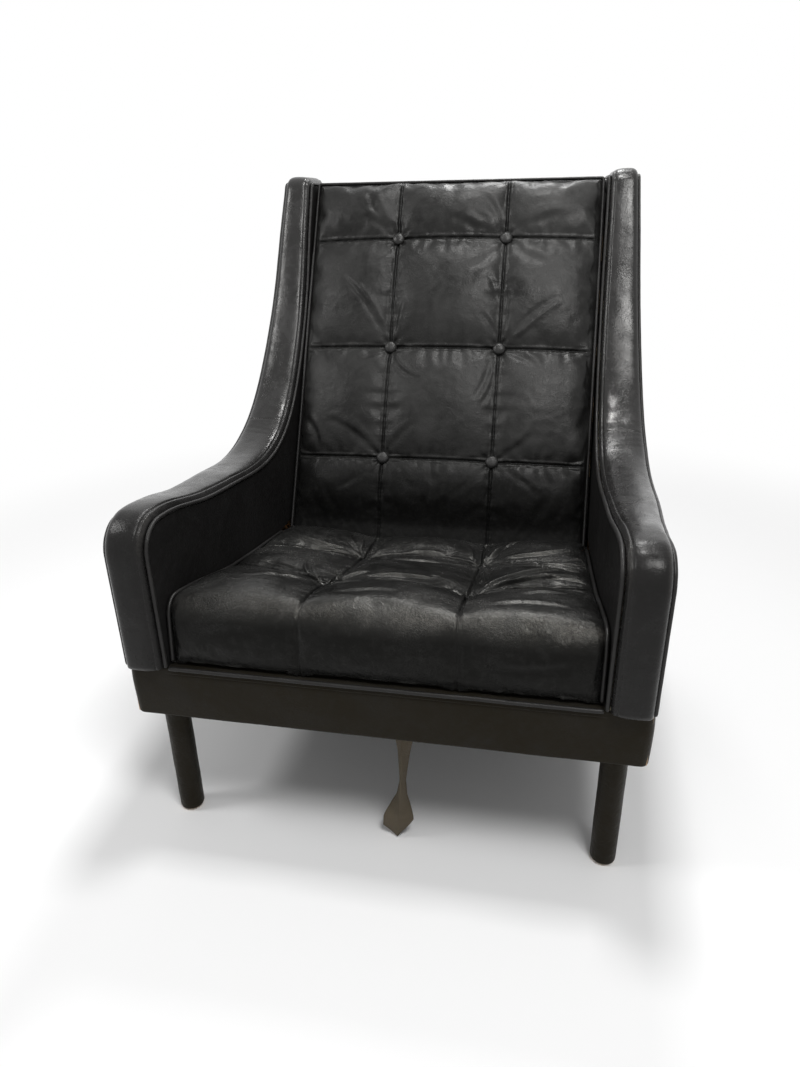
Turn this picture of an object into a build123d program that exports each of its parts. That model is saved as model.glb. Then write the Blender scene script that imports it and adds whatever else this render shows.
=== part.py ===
from build123d import *
import math
import os

os.makedirs("parts", exist_ok=True)

# High-backed lounge chair: two upholstered sides with wings, a low rail box on four legs,
# a sprung seat and back of webbing, and two loose cushions.
# X runs across the chair, Y from front to back, Z up. The origin is on the floor, in the
# middle of the chair. Depths are measured back from the front face of the base.

# Base
base_width = 720.0
base_depth = 715.0
base_height = 85.0
base_corner_radius = 12.0
rail_thickness = 24.0
leather = 2.5
cover_turn_in = 12.0
seat_gap = 0.3

# Legs
leg_height = 211.0
leg_diameter = 37.0
leg_sleeve_wall = 2.0
leg_flare = 2.5
leg_flare_height = 9.0
leg_across = 323.0
leg_front_setback = 45.0
leg_rear_setback = 47.0
glide_diameter = 30.0
glide_height = 4.0
glide_lip = 1.2
leg_bolt_diameter = 8.0
leg_bolt_length = 70.0
leg_bolt_in_leg = 40.0
corner_block_size = 70.0
corner_block_height = 28.0
corner_block_chamfer = 34.0

# Sides: one outline for the padding, its two leather faces and the edge band.
side_inner_face = 298.0
side_panel_wall = 3.0
side_line_setback = 1.0
arm_low_height = 446.4
arm_front_rise = 56.1
arm_corner_radius = 36.0
arm_length = 595.0
bend_rise = 48.7
wing_top_height = 916.0
wing_top_lead = 67.6
wing_top_run = 94.0
wing_corner_radius = 9.0
arm_line_shares = ((0.28, 0.579), (0.50, 0.23), (0.71, 0.0), (0.855, 0.16), (1.0, 0.868))
wing_line_shares = ((0.22, 0.117), (0.464, 0.305), (0.716, 0.576), (0.87, 0.815), (1.0, 1.0))

# The outer face swells from the straight base to its widest point behind the arm.
swell = 28.0
swell_start = 80.0
swell_full = 511.0
swell_rise = 18.6
wing_lean_share = 1.1
swell_grid = 9
swell_overrun = 60.0

# Edge band and piping
band_crown = 16.0
band_shoulder = 6.0
band_lift = 0.6
piping_radius = 3.3
piping_lift = 4.4
piping_proud = 0.8
piping_sides = 6

# Side frame: beech planks inside the padding
side_frame_thickness = 30.0
frame_plank = 46.0
frame_margin = 12.0
stile_foot_setback = 52.0
stile_head_setback = 28.0
frame_bolt_diameter = 8.0
frame_bolt_head_diameter = 18.0
frame_bolt_head_height = 3.5
frame_bolt_count = 3
frame_bolt_spacing = 190.0

# Seat suspension
deck_fall_share = 0.118
deck_start = 1.4
deck_wall = 3.5
webbing_width = 50.0
webbing_wall = 2.0
seat_strap_count = 5
seat_strap_spacing = 108.0
cross_strap_count = 4
cross_strap_spacing = 112.0
cross_strap_start = 78.0
cleat_thickness = 20.0
cleat_height = 36.0
seat_rear_rail_start = 498.0
seat_rear_rail_end = 556.0

# Seat cushion: heights are square to the deck, shares run from the front rail back.
seat_half_width = 296.5
seat_front_setback = 3.0
seat_front_height = 100.0
seat_rear_height = 56.0
seat_front_radius = 34.0
seat_front_turns = 4
seat_length = 500.0
seat_station_shares = (0.17, 0.257, 0.36, 0.49, 0.62, 0.74, 0.9, 1.05)
seat_height_shares = (0.78, 0.61, 0.42, 0.29, 0.19, 0.13, 0.03, 0.0)
seat_sag_shares = (0.06, 0.12, 0.3, 0.6, 0.9, 1.1, 0.95, 0.7)
seat_crown_shares = (0.9, 0.35, 0.7, 1.0, 0.7, 0.35, 0.8, 0.6)
seat_front_crown_share = 0.5
seat_sag = 19.0
seat_crown = 13.0
seam_across = 107.0
side_draw_in = 3.0
cushion_piping_radius = 3.0
cushion_piping_seat = 6.6
tuft_radius = 11.0
tuft_depth = 9.0
tuft_knot_radius = 4.0
tuft_knot_height = 1.5
tuft_stations = (1, 5)
foam_margin = 14.0
foam_skin = 9.0
foam_top_shares = (0.84, 0.62, 0.52, 0.42, 0.34, 0.26, 0.3, 0.3)

# Back cushion: heights run up the slope from its foot, depths forward from its rear face.
back_rake = 28.2
back_foot_depth = 543.6
back_half_width = 294.0
back_cushion_drop = 14.3
back_boxing = 45.0
back_station_shares = (0.0, 0.03, 0.07, 0.12, 0.18, 0.2387, 0.3, 0.385, 0.47, 0.5321, 0.6, 0.68, 0.765,
                       0.8257, 0.88, 0.94, 0.975, 1.0)
back_seam_shares = (0.0, 0.05, 0.1, 0.8, 1.0, 0.85, 1.0, 1.1, 1.0, 0.85, 1.0, 1.1, 1.0,
                    0.85, 0.9, 0.75, 0.4, 0.0)
back_crown_shares = (0.1, 0.1, 0.1, 0.8, 0.7, 0.25, 0.7, 1.0, 0.7, 0.25, 0.7, 1.0, 0.7,
                     0.25, 0.7, 0.9, 0.6, 0.1)
back_seam_rise = 20.0
back_crown = 14.0
back_corner_radius = 7.2
back_seat_clearance = 5.0
button_diameter = 24.0
button_height = 8.0
button_rise = 21.0
button_play = 1.5
button_across = 108.0
button_first_share = 0.2387
button_pitch_share = 0.2936
button_rows = 3

# Back frame
back_rail_thickness = 18.0
back_top_rail_height = 62.0
back_top_rail_drop = 11.0
back_low_rail_height = 70.0
back_low_rail_start = 72.0
back_strap_count = 5
outside_back_wall = 3.0
outside_back_inset = 7.0
outside_back_drop = 9.0

# Loose webbing strap that hangs behind the front rail, folded lengthwise
strap_width = 53.0
strap_wall = 2.0
strap_across = 27.0
strap_floor_gap = 2.0
strap_tack_height = 246.0
strap_level_shares = (0.0, 0.06, 0.2, 0.33, 0.42, 0.6, 0.86, 1.0)
strap_half_width_shares = (0.08, 0.36, 0.5, 0.22, 0.13, 0.18, 0.26, 0.3)
strap_fold_shares = (0.02, 0.06, 0.12, 0.16, 0.12, 0.08, 0.04, 0.02)

dust_cover_wall = 1.0
overrun = 5.0

# Places that follow from the sizes above
arm_front_height = arm_low_height + arm_front_rise
bend_height = arm_low_height + bend_rise
swell_height = arm_low_height + swell_rise
base_bottom = leg_height
base_top = base_bottom + base_height
rail_bottom = base_bottom + leather
rail_top = base_top - leather
rail_outer = base_width / 2 - leather
front_rail_back = leather + rail_thickness
deck_angle = math.atan(deck_fall_share)
rake = math.radians(back_rake)
frame_inner = side_inner_face + side_panel_wall
frame_outer = frame_inner + side_frame_thickness


def deck_height(depth):
    return base_top - deck_fall_share * (depth - front_rail_back)


# The wings stand ahead of the line of the back cushion's rear face, and the back behind it.
back_foot_height = deck_height(back_foot_depth) + seat_gap
back_line_reach = back_foot_depth + (wing_top_height - back_foot_height) * math.tan(rake)
wing_top_setback = back_line_reach - wing_top_lead
back_reach = wing_top_setback + wing_top_run
front_face = -(back_reach + side_line_setback - band_crown) / 2


def side_plane(x):
    return Plane(origin=(x, front_face, 0), x_dir=(0, 1, 0), z_dir=(1, 0, 0))


def floor_plane(z):
    return Plane(origin=(0, front_face, z))


def outer_face(depth, height):
    reach = min(max((depth - swell_start) / (swell_full - swell_start), 0), 1)
    if height < swell_height:
        rise = max(height - base_top, 0) / (swell_height - base_top)
        lift = math.sin(math.pi / 2 * rise)
    else:
        lift = 1 - wing_lean_share * (height - swell_height) / (wing_top_height - swell_height)
    return base_width / 2 + swell * math.sin(math.pi / 2 * reach) * lift


def save(piece, name):
    piece.part.label = name
    export_step(piece.part, "parts/" + name + ".step")


def save_pair(piece, name):
    save(piece, name + "_right")
    with BuildPart() as twin:
        mirror(piece.part, about=Plane.YZ)
    save(twin, name + "_left")


# The side's outline, drawn flat: first coordinate back from the front face, second up.
wing_run = wing_top_setback - arm_length
wing_rise = wing_top_height - bend_height
arm_points = []
for along, up in arm_line_shares:
    arm_points.append((arm_length * along, arm_low_height + arm_front_rise * up))
wing_points = []
for along, up in wing_line_shares:
    wing_points.append((arm_length + wing_run * along, bend_height + wing_rise * up))

with BuildLine() as side_line:
    front_edge = Line((side_line_setback, base_top),
                      (side_line_setback, arm_front_height - arm_corner_radius))
    arm_corner = JernArc(front_edge @ 1, (0, 1), arm_corner_radius, -90)
    arm_to_wing = Spline(arm_corner @ 1, *arm_points, *wing_points,
                         tangents=((1, 0), (wing_run * 0.25, wing_rise * 0.42)))
    wing_direction = arm_to_wing % 1
    wing_turn = math.degrees(math.atan2(wing_direction.Y, wing_direction.X))
    wing_corner = JernArc(arm_to_wing @ 1, wing_direction, wing_corner_radius, -wing_turn)
    side_top = (wing_corner @ 1).Y
    top_edge = Line(wing_corner @ 1, (back_reach, side_top))
rear_slope = (back_reach - base_depth) / (side_top - base_top)
back_cushion_height = (side_top - back_cushion_drop - back_foot_height) / math.cos(rake)


def rear_depth(height):
    return base_depth + rear_slope * (height - base_top)


def side_outline(x):
    with BuildSketch(side_plane(x)) as outline:
        with BuildLine():
            add(side_line.line)
            Polyline((back_reach, side_top), (base_depth, base_top), (side_line_setback, base_top))
        make_face()
    return outline.sketch


def swollen_block(inward, depth):
    """A block whose outer side follows the side's swollen face, set in by a wall."""
    rise = side_top - base_top
    rows = []
    for row in range(swell_grid):
        height = base_top - swell_overrun + row * (rise + 2 * swell_overrun) / (swell_grid - 1)
        points = []
        for column in range(swell_grid):
            back = -swell_overrun + column * (back_reach + 2 * swell_overrun) / (swell_grid - 1)
            points.append(Vector(outer_face(back, height) - inward, front_face + back, height))
        rows.append(points)
    surface = Face.make_surface_from_array_of_points(rows)
    return extrude(surface, depth, dir=(-1, 0, 0))


def side_slice(inward, depth):
    """The side's outline, cut to the swollen face and a depth inside it."""
    prism = extrude(side_outline(side_inner_face), base_width / 2, dir=(1, 0, 0))
    return prism & swollen_block(inward, depth)


# Stations along each run of the outline, each a point and the direction of travel.
side_edges = (front_edge, arm_corner, arm_to_wing, wing_corner, top_edge)
side_step_counts = (1, 5, 28, 3, 1)
side_runs = tuple(zip(side_edges, side_step_counts))


def run_stations(edge, steps):
    return [(edge @ (step / steps), edge % (step / steps)) for step in range(steps + 1)]


def station_plane(point, direction):
    return Plane(origin=(0, front_face + point.X, point.Y), x_dir=(1, 0, 0),
                 z_dir=(0, -direction.X, -direction.Y))


def band_section(point, direction):
    inner = side_inner_face + 2 * piping_radius
    outer = outer_face(point.X, point.Y) - 2 * piping_radius
    with BuildSketch(station_plane(point, direction)) as section:
        with BuildLine():
            Polyline((inner, band_shoulder), (inner, band_lift), (outer, band_lift), (outer, band_shoulder))
            ThreePointArc((outer, band_shoulder), ((inner + outer) / 2, band_crown), (inner, band_shoulder))
        make_face()
    return section.sketch


def piping_section(point, direction, across):
    with BuildSketch(station_plane(point, direction)) as section:
        with Locations((across, piping_lift)):
            RegularPolygon(piping_radius, piping_sides)
    return section.sketch


# Edge bands: padded leather that runs up the arm's front, along the arm and up the wing
with BuildPart() as arm_band:
    for edge, steps in side_runs:
        loft([band_section(point, direction) for point, direction in run_stations(edge, steps)])
save_pair(arm_band, "arm_band")

inner_across = side_inner_face + piping_radius - piping_proud
with BuildPart() as inner_piping:
    for edge, steps in side_runs:
        sections = []
        for point, direction in run_stations(edge, steps):
            sections.append(piping_section(point, direction, inner_across))
        loft(sections, ruled=True)
save_pair(inner_piping, "inner_side_piping")

with BuildPart() as outer_piping:
    for edge, steps in side_runs:
        sections = []
        for point, direction in run_stations(edge, steps):
            outer_across = outer_face(point.X, point.Y) - piping_radius + piping_proud
            sections.append(piping_section(point, direction, outer_across))
        loft(sections, ruled=True)
save_pair(outer_piping, "outer_side_piping")

# Side frames: a plank frame with an arm rail, posts, a raked back stile and a bottom rail
frame_front = front_rail_back + seat_gap
frame_back = base_depth - front_rail_back - seat_gap


def frame_outline():
    """The plank frame's outer line: arm rail, raked back stile, heel and bottom rail."""
    arm_line = arm_low_height - frame_margin
    top = side_top - 2 * frame_margin
    stile_back = rear_depth(top) - 2 * frame_margin
    with BuildSketch(side_plane(frame_inner)) as outline:
        with BuildLine():
            Polyline((frame_front, rail_bottom), (frame_front, arm_line),
                     (arm_length + stile_foot_setback, arm_line),
                     (wing_top_setback + stile_head_setback, top),
                     (stile_back, top), (frame_back, base_top), (frame_back, rail_bottom), close=True)
        make_face()
    return outline.sketch


def frame_window():
    """The opening between the posts, the arm rail and the bottom rail."""
    foot = rail_bottom + frame_plank
    head = arm_low_height - frame_margin - frame_plank
    front = frame_front + frame_plank
    back = rear_depth(foot) - 3 * frame_plank
    with BuildSketch(side_plane(frame_inner)) as outline:
        with BuildLine():
            Polyline((front, foot), (front, head), (back, head), (back, foot), close=True)
        make_face()
    return outline.sketch


bolt_height = rail_bottom + frame_plank / 2
leg_depths = (leg_front_setback, base_depth - leg_rear_setback)


def frame_bolt_circles(x, radius):
    with BuildSketch(side_plane(x)) as circles:
        with Locations(((frame_front + frame_back) / 2, bolt_height)):
            with GridLocations(frame_bolt_spacing, 0, frame_bolt_count, 1):
                Circle(radius)
    return circles.sketch


with BuildPart() as side_frame:
    extrude(frame_outline(), amount=side_frame_thickness)
    extrude(frame_window(), amount=side_frame_thickness, mode=Mode.SUBTRACT)
    extrude(frame_bolt_circles(frame_inner, frame_bolt_diameter / 2), amount=side_frame_thickness,
            mode=Mode.SUBTRACT)
    extrude(frame_bolt_circles(frame_inner, frame_bolt_head_diameter / 2), amount=frame_bolt_head_height,
            mode=Mode.SUBTRACT)
    with BuildSketch(floor_plane(rail_bottom)):
        with Locations(*[(leg_across, leg_depth) for leg_depth in leg_depths]):
            Circle(leg_bolt_diameter / 2)
    extrude(amount=leg_bolt_length - leg_bolt_in_leg, mode=Mode.SUBTRACT)
save_pair(side_frame, "side_frame")

# Padding between the two leather faces, hollowed for the plank frame
padding_block = side_slice(side_panel_wall, base_width)
with BuildPart() as side_padding:
    add(padding_block)
    extrude(side_outline(side_inner_face), amount=side_panel_wall, mode=Mode.SUBTRACT)
    extrude(frame_outline(), amount=side_frame_thickness, mode=Mode.SUBTRACT)
    extrude(frame_window(), amount=side_frame_thickness)
    with BuildSketch(floor_plane(base_bottom)):
        with Locations((frame_inner, base_depth / 2)):
            Rectangle(base_width, 2 * base_depth)
    extrude(amount=base_height, mode=Mode.SUBTRACT)
save_pair(side_padding, "side_padding")

with BuildPart() as inner_panel:
    extrude(side_outline(side_inner_face), amount=side_panel_wall)
save_pair(inner_panel, "inner_side_panel")

outer_leaf = side_slice(0, side_panel_wall)
with BuildPart() as outer_panel:
    add(outer_leaf)
save_pair(outer_panel, "outer_side_panel")

# Base rails, with holes for the bolts that hold the side frames
with BuildPart() as front_rail:
    with BuildSketch(floor_plane(rail_bottom)):
        with Locations((0, leather + rail_thickness / 2)):
            Rectangle(2 * rail_outer, rail_thickness)
    extrude(amount=rail_top - rail_bottom)
save(front_rail, "front_rail")

with BuildPart() as rear_rail:
    with BuildSketch(floor_plane(rail_bottom)):
        with Locations((0, base_depth - leather - rail_thickness / 2)):
            Rectangle(2 * rail_outer, rail_thickness)
    extrude(amount=rail_top - rail_bottom)
save(rear_rail, "rear_rail")

with BuildPart() as side_rail:
    with BuildSketch(side_plane(frame_outer)):
        with Locations((base_depth / 2, (rail_top + rail_bottom) / 2)):
            Rectangle(base_depth - 2 * front_rail_back, rail_top - rail_bottom)
    extrude(amount=rail_outer - frame_outer)
    extrude(frame_bolt_circles(frame_outer, frame_bolt_diameter / 2), amount=rail_outer - frame_outer,
            mode=Mode.SUBTRACT)
save_pair(side_rail, "side_rail")

# Bolts that pull each side frame against its rail, with heads let into the frame
with BuildPart() as frame_bolts:
    extrude(frame_bolt_circles(frame_inner, frame_bolt_diameter / 2), amount=rail_outer - frame_inner)
    extrude(frame_bolt_circles(frame_inner, frame_bolt_head_diameter / 2), amount=frame_bolt_head_height)
save_pair(frame_bolts, "frame_bolts")

# Leather over the base: a ring round the rails, turned in over their tops and undersides
with BuildPart() as base_cover:
    with BuildSketch(floor_plane(base_bottom)):
        with Locations((0, base_depth / 2)):
            RectangleRounded(base_width, base_depth, base_corner_radius)
            Rectangle(2 * rail_outer, base_depth - 2 * leather, mode=Mode.SUBTRACT)
    extrude(amount=base_height)
    with BuildSketch(floor_plane(base_bottom)):
        with Locations((0, base_depth / 2)):
            Rectangle(2 * rail_outer, base_depth - 2 * leather)
            Rectangle(2 * (rail_outer - cover_turn_in), base_depth - 2 * (leather + cover_turn_in),
                      mode=Mode.SUBTRACT)
    extrude(amount=leather)
    with BuildSketch(floor_plane(rail_top)):
        with Locations((0, base_depth / 2)):
            Rectangle(2 * rail_outer, base_depth - 2 * leather)
            Rectangle(2 * frame_outer, base_depth - 2 * front_rail_back, mode=Mode.SUBTRACT)
    extrude(amount=leather)
save(base_cover, "base_cover")

# Piping along the top of the front rail, between the arms
with BuildPart() as rail_piping:
    with BuildSketch(side_plane(-seat_half_width)):
        with Locations((-piping_radius, base_top)):
            RegularPolygon(piping_radius, piping_sides)
    extrude(amount=2 * seat_half_width)
save(rail_piping, "front_rail_piping")

# Legs: a round beech core in a leather sleeve, with a flared collar, a glide and a hanger bolt
leg_spots = []
for leg_depth in leg_depths:
    for leg_side in (-leg_across, leg_across):
        leg_spots.append((leg_side, leg_depth))
leg_names = ("front_left", "front_right", "rear_left", "rear_right")
core_radius = leg_diameter / 2 - leg_sleeve_wall
bolt_bottom = rail_bottom - leg_bolt_in_leg

for name, spot in zip(leg_names, leg_spots):
    with BuildPart() as leg_core:
        with BuildSketch(floor_plane(glide_height)):
            with Locations(spot):
                Circle(core_radius)
        extrude(amount=rail_bottom - glide_height)
        with BuildSketch(floor_plane(bolt_bottom)):
            with Locations(spot):
                Circle(leg_bolt_diameter / 2)
        extrude(amount=leg_bolt_in_leg, mode=Mode.SUBTRACT)
    save(leg_core, "leg_" + name)

    with BuildPart() as leg_sleeve:
        sleeve_centre = Plane(origin=(spot[0], front_face + spot[1], 0), x_dir=(1, 0, 0), z_dir=(0, -1, 0))
        with BuildSketch(sleeve_centre):
            with BuildLine():
                flare_foot = (leg_diameter / 2, rail_bottom - leg_flare_height)
                flare_head = (leg_diameter / 2 + leg_flare, rail_bottom)
                Polyline((core_radius, glide_height), (leg_diameter / 2, glide_height), flare_foot)
                Spline(flare_foot, flare_head, tangents=((0, 1), (1, 2)))
                Polyline(flare_head, (core_radius, rail_bottom), (core_radius, glide_height))
            make_face()
        revolve(axis=Axis((spot[0], front_face + spot[1], 0), (0, 0, 1)))
    save(leg_sleeve, "leg_sleeve_" + name)

with BuildPart() as glides:
    with BuildSketch(floor_plane(0)):
        with Locations(*leg_spots):
            Circle(glide_diameter / 2)
    extrude(amount=glide_height)
    chamfer(glides.faces().group_by(Axis.Z)[0].edges(), glide_lip)
save(glides, "leg_glides")

with BuildPart() as leg_bolts:
    with BuildSketch(floor_plane(bolt_bottom)):
        with Locations(*leg_spots):
            Circle(leg_bolt_diameter / 2)
    extrude(amount=leg_bolt_length)
save(leg_bolts, "leg_bolts")

# Corner blocks glued between the end rails and the side frames
cut = corner_block_size - corner_block_chamfer
with BuildPart() as corner_blocks:
    for end in (-1, 1):
        for side in (-1, 1):
            wall = frame_inner * side
            rail_line = base_depth / 2 + end * (base_depth / 2 - front_rail_back)
            with BuildSketch(floor_plane(rail_bottom + leather)):
                with BuildLine():
                    Polyline((wall, rail_line), (wall, rail_line - end * corner_block_size),
                             (wall - side * cut, rail_line - end * corner_block_size),
                             (wall - side * corner_block_size, rail_line - end * cut),
                             (wall - side * corner_block_size, rail_line), close=True)
                make_face()
            extrude(amount=corner_block_height)
save(corner_blocks, "corner_blocks")

# Dust cover below the base, cut round the legs
with BuildPart() as dust_cover:
    with BuildSketch(floor_plane(rail_bottom)):
        with Locations((0, base_depth / 2)):
            Rectangle(2 * (rail_outer - cover_turn_in), base_depth - 2 * (leather + cover_turn_in))
        with Locations(*leg_spots):
            Circle(leg_diameter / 2 + leg_flare + seat_gap, mode=Mode.SUBTRACT)
        with Locations((strap_across, front_rail_back)):
            Rectangle(strap_width, cleat_thickness, mode=Mode.SUBTRACT)
    extrude(amount=-dust_cover_wall)
save(dust_cover, "dust_cover")


# Seat suspension: cleats, a flat rear rail, two layers of webbing and the deck over them
def under_deck(depth, drop):
    return deck_height(depth) - drop / math.cos(deck_angle)


def sloped_bar(x, near, far, drop, low):
    """A side view of a bar whose top lies parallel to the deck."""
    with BuildSketch(side_plane(x)) as outline:
        with BuildLine():
            Polyline((near, low(near)), (near, under_deck(near, drop)), (far, under_deck(far, drop)),
                     (far, low(far)), close=True)
        make_face()
    return outline.sketch


cross_level = deck_wall + webbing_wall
length_level = cross_level + webbing_wall
cleat_inner = frame_inner - cleat_thickness
cleat_far = seat_rear_rail_start

with BuildPart() as front_cleat:
    extrude(sloped_bar(-cleat_inner, front_rail_back, front_rail_back + cleat_thickness, length_level,
                       lambda depth: under_deck(depth, length_level + cleat_height)),
            amount=2 * cleat_inner)
save(front_cleat, "seat_front_cleat")

with BuildPart() as side_cleat:
    extrude(sloped_bar(cleat_inner, front_rail_back, cleat_far, cross_level,
                       lambda depth: max(under_deck(depth, cross_level + cleat_height), rail_bottom)),
            amount=cleat_thickness)
save_pair(side_cleat, "seat_side_cleat")

with BuildPart() as seat_rear_rail:
    extrude(sloped_bar(-frame_inner, seat_rear_rail_start, seat_rear_rail_end, length_level,
                       lambda depth: rail_bottom),
            amount=2 * frame_inner)
save(seat_rear_rail, "seat_rear_rail")

deck_plane = Plane(origin=(0, front_face + front_rail_back, base_top), x_dir=(1, 0, 0),
                   z_dir=(0, math.sin(deck_angle), math.cos(deck_angle)))
deck_length = (seat_rear_rail_end - front_rail_back) / math.cos(deck_angle) - 2 * deck_start

with BuildPart() as seat_webbing:
    with BuildSketch(deck_plane.offset(-length_level)):
        with Locations((0, deck_start + deck_length / 2)):
            with GridLocations(seat_strap_spacing, 0, seat_strap_count, 1):
                Rectangle(webbing_width, deck_length)
    extrude(amount=webbing_wall)
save(seat_webbing, "seat_webbing_lengthwise")

with BuildPart() as cross_webbing:
    with BuildSketch(deck_plane.offset(-cross_level)):
        for strap in range(cross_strap_count):
            with Locations((0, cross_strap_start + strap * cross_strap_spacing)):
                Rectangle(2 * (frame_inner - seat_gap), webbing_width)
    extrude(amount=webbing_wall)
save(cross_webbing, "seat_webbing_cross")

with BuildPart() as seat_deck:
    with BuildSketch(deck_plane.offset(-deck_wall)):
        with Locations((0, deck_start + deck_length / 2)):
            Rectangle(2 * (side_inner_face - seat_gap), deck_length)
    extrude(amount=deck_wall)
save(seat_deck, "seat_deck")


# Seat cushion: a box cushion with a waterfall front, three crowned panels across and a sagged middle
def crowned_section(plane, half_width, low, edge, valley, crown, draw_in):
    """A cushion slice: flat back, sides that pull in, three crowned panels between two seams."""
    middle = (edge + low) / 2
    outer_mid = (half_width + seam_across) / 2
    outer_rise = (edge + valley) / 2 + crown
    with BuildSketch(plane) as section:
        with BuildLine():
            Line((-half_width, low), (half_width, low))
            ThreePointArc((half_width, low), (half_width - draw_in, middle), (half_width, edge))
            ThreePointArc((half_width, edge), (outer_mid, outer_rise), (seam_across, valley))
            ThreePointArc((seam_across, valley), (0, valley + crown), (-seam_across, valley))
            ThreePointArc((-seam_across, valley), (-outer_mid, outer_rise), (-half_width, edge))
            ThreePointArc((-half_width, edge), (draw_in - half_width, middle), (-half_width, low))
        make_face()
    return section.sketch


def section_plane(bed, along):
    return Plane(origin=bed.from_local_coords(Vector(0, along, 0)), x_dir=(1, 0, 0), z_dir=-bed.y_dir)


# Each seat station: distance along the deck, edge height, seam height and crown.
seat_start = seat_front_setback - front_rail_back
seat_profile = []
for turn in range(seat_front_turns):
    angle = math.pi / 2 * turn / (seat_front_turns - 1)
    along = seat_start + seat_front_radius * (1 - math.cos(angle))
    edge = seat_front_height - seat_front_radius * (1 - math.sin(angle))
    seat_profile.append((along, edge, edge, seat_crown * seat_front_crown_share))
seat_fall = seat_front_height - seat_rear_height
for share, height_share, sag_share, crown_share in zip(seat_station_shares, seat_height_shares,
                                                       seat_sag_shares, seat_crown_shares):
    edge = seat_rear_height + seat_fall * height_share
    seat_profile.append((seat_length * share, edge, edge - seat_sag * sag_share, seat_crown * crown_share))

# The rear face lies along the back cushion's front, a clearance in front of it.
back_origin = Vector(0, front_face + back_foot_depth, back_foot_height)
back_plane = Plane(origin=back_origin, x_dir=(1, 0, 0), z_dir=(0, -math.cos(rake), math.sin(rake)))
seat_rear_plane = back_plane.offset(back_boxing + back_seat_clearance)


def seat_profile_line(inset):
    """The seat's top line in side view, set in by a distance: points along the deck and up."""
    points = []
    for along, edge, valley, crown in seat_profile:
        points.append((along, edge - inset))
    for turn in range(seat_front_turns):
        angle = math.pi / 2 * turn / (seat_front_turns - 1)
        radius = seat_front_radius - inset
        points[turn] = (seat_start + seat_front_radius - radius * math.cos(angle),
                        seat_front_height - seat_front_radius + radius * math.sin(angle))
    return points


deck_side_plane = Plane(origin=deck_plane.origin, x_dir=deck_plane.y_dir, z_dir=(1, 0, 0))
seat_far = seat_profile[-1][0]
seat_high = seat_front_height + seat_crown + overrun


def seat_ring(x):
    """Side view of what is cut from the top and front edges to seat the piping."""
    inner_line = seat_profile_line(cushion_piping_seat)
    with BuildSketch(deck_side_plane.offset(x)) as ring:
        with BuildLine():
            Polyline((inner_line[0][0], seat_gap - overrun), *inner_line,
                     (seat_far + overrun, inner_line[-1][1]), (seat_far + overrun, seat_high),
                     (seat_start - overrun, seat_high),
                     (seat_start - overrun, seat_gap - overrun), close=True)
        make_face()
    return ring.sketch


foam_line = []
for (along, edge, valley, crown), share in zip(seat_profile[seat_front_turns:], foam_top_shares):
    foam_line.append((along, seat_front_height * share))
foam_rear = seat_profile[-2][0] - foam_margin
with BuildPart() as seat_foam:
    with BuildSketch(deck_side_plane.offset(foam_margin - seat_half_width)):
        with BuildLine():
            Polyline((seat_start + foam_margin, foam_skin),
                     (seat_start + foam_margin, seat_front_height / 2),
                     (seat_start + seat_front_radius + foam_margin, seat_front_height * foam_top_shares[0]),
                     *foam_line[1:-2], (foam_rear, seat_front_height * foam_top_shares[-1]),
                     (foam_rear, foam_skin), close=True)
        make_face()
    extrude(amount=2 * (seat_half_width - foam_margin))
save(seat_foam, "seat_cushion_foam")

with BuildPart() as seat_cushion:
    loft([crowned_section(section_plane(deck_plane, along), seat_half_width, seat_gap, edge, valley, crown,
                          side_draw_in) for along, edge, valley, crown in seat_profile], ruled=True)
    split(bisect_by=seat_rear_plane, keep=Keep.TOP)
    for side in (-1, 1):
        x = side * (seat_half_width - cushion_piping_seat)
        extrude(seat_ring(x), amount=side * (cushion_piping_seat + overrun), mode=Mode.SUBTRACT)
    for station in tuft_stations:
        along, edge, valley, crown = seat_profile[seat_front_turns + station]
        with Locations(deck_plane.offset(valley - tuft_depth)):
            with Locations((-seam_across, along), (seam_across, along)):
                Cone(tuft_knot_radius, tuft_radius, tuft_depth + crown / 2,
                     align=(Align.CENTER, Align.CENTER, Align.MIN), mode=Mode.SUBTRACT)
    add(seat_foam.part, mode=Mode.SUBTRACT)
save(seat_cushion, "seat_cushion")

with BuildPart() as seat_tufts:
    for station in tuft_stations:
        along, edge, valley, crown = seat_profile[seat_front_turns + station]
        with BuildSketch(deck_plane.offset(valley - tuft_depth)):
            with Locations((-seam_across, along), (seam_across, along)):
                Circle(tuft_knot_radius)
        extrude(amount=tuft_knot_height)
save(seat_tufts, "seat_tuft_knots")

# Piping round each end of the seat cushion: up the front edge and along the top
piping_line = seat_profile_line(cushion_piping_seat / 2)
piping_line[-1] = (seat_profile[-2][0], piping_line[-2][1])
piping_line.pop(-2)
with BuildPart() as seat_piping:
    for side in (-1, 1):
        x = side * (seat_half_width - cushion_piping_seat / 2)
        corners = [(piping_line[0][0], seat_gap + cushion_piping_radius)] + piping_line
        spots = []
        for along, up in corners:
            spots.append(deck_plane.from_local_coords(Vector(x, along, up)))
        sections = []
        for before, spot, after in zip(spots[:1] + spots[:-1], spots, spots[1:] + spots[-1:]):
            pipe_plane = Plane(origin=spot, x_dir=(1, 0, 0), z_dir=(after - before).normalized())
            with BuildSketch(pipe_plane) as section:
                RegularPolygon(cushion_piping_radius, piping_sides)
            sections.append(section.sketch)
        loft(sections, ruled=True)
save(seat_piping, "seat_cushion_piping")

# Back cushion: a tall box cushion with a piped edge, stitched valleys and six buttons
back_seat_level = back_boxing - cushion_piping_seat
button_floor = back_boxing + button_rise - button_height
button_pitch = back_cushion_height * button_pitch_share
button_middle = back_cushion_height * button_first_share + button_pitch


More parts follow.
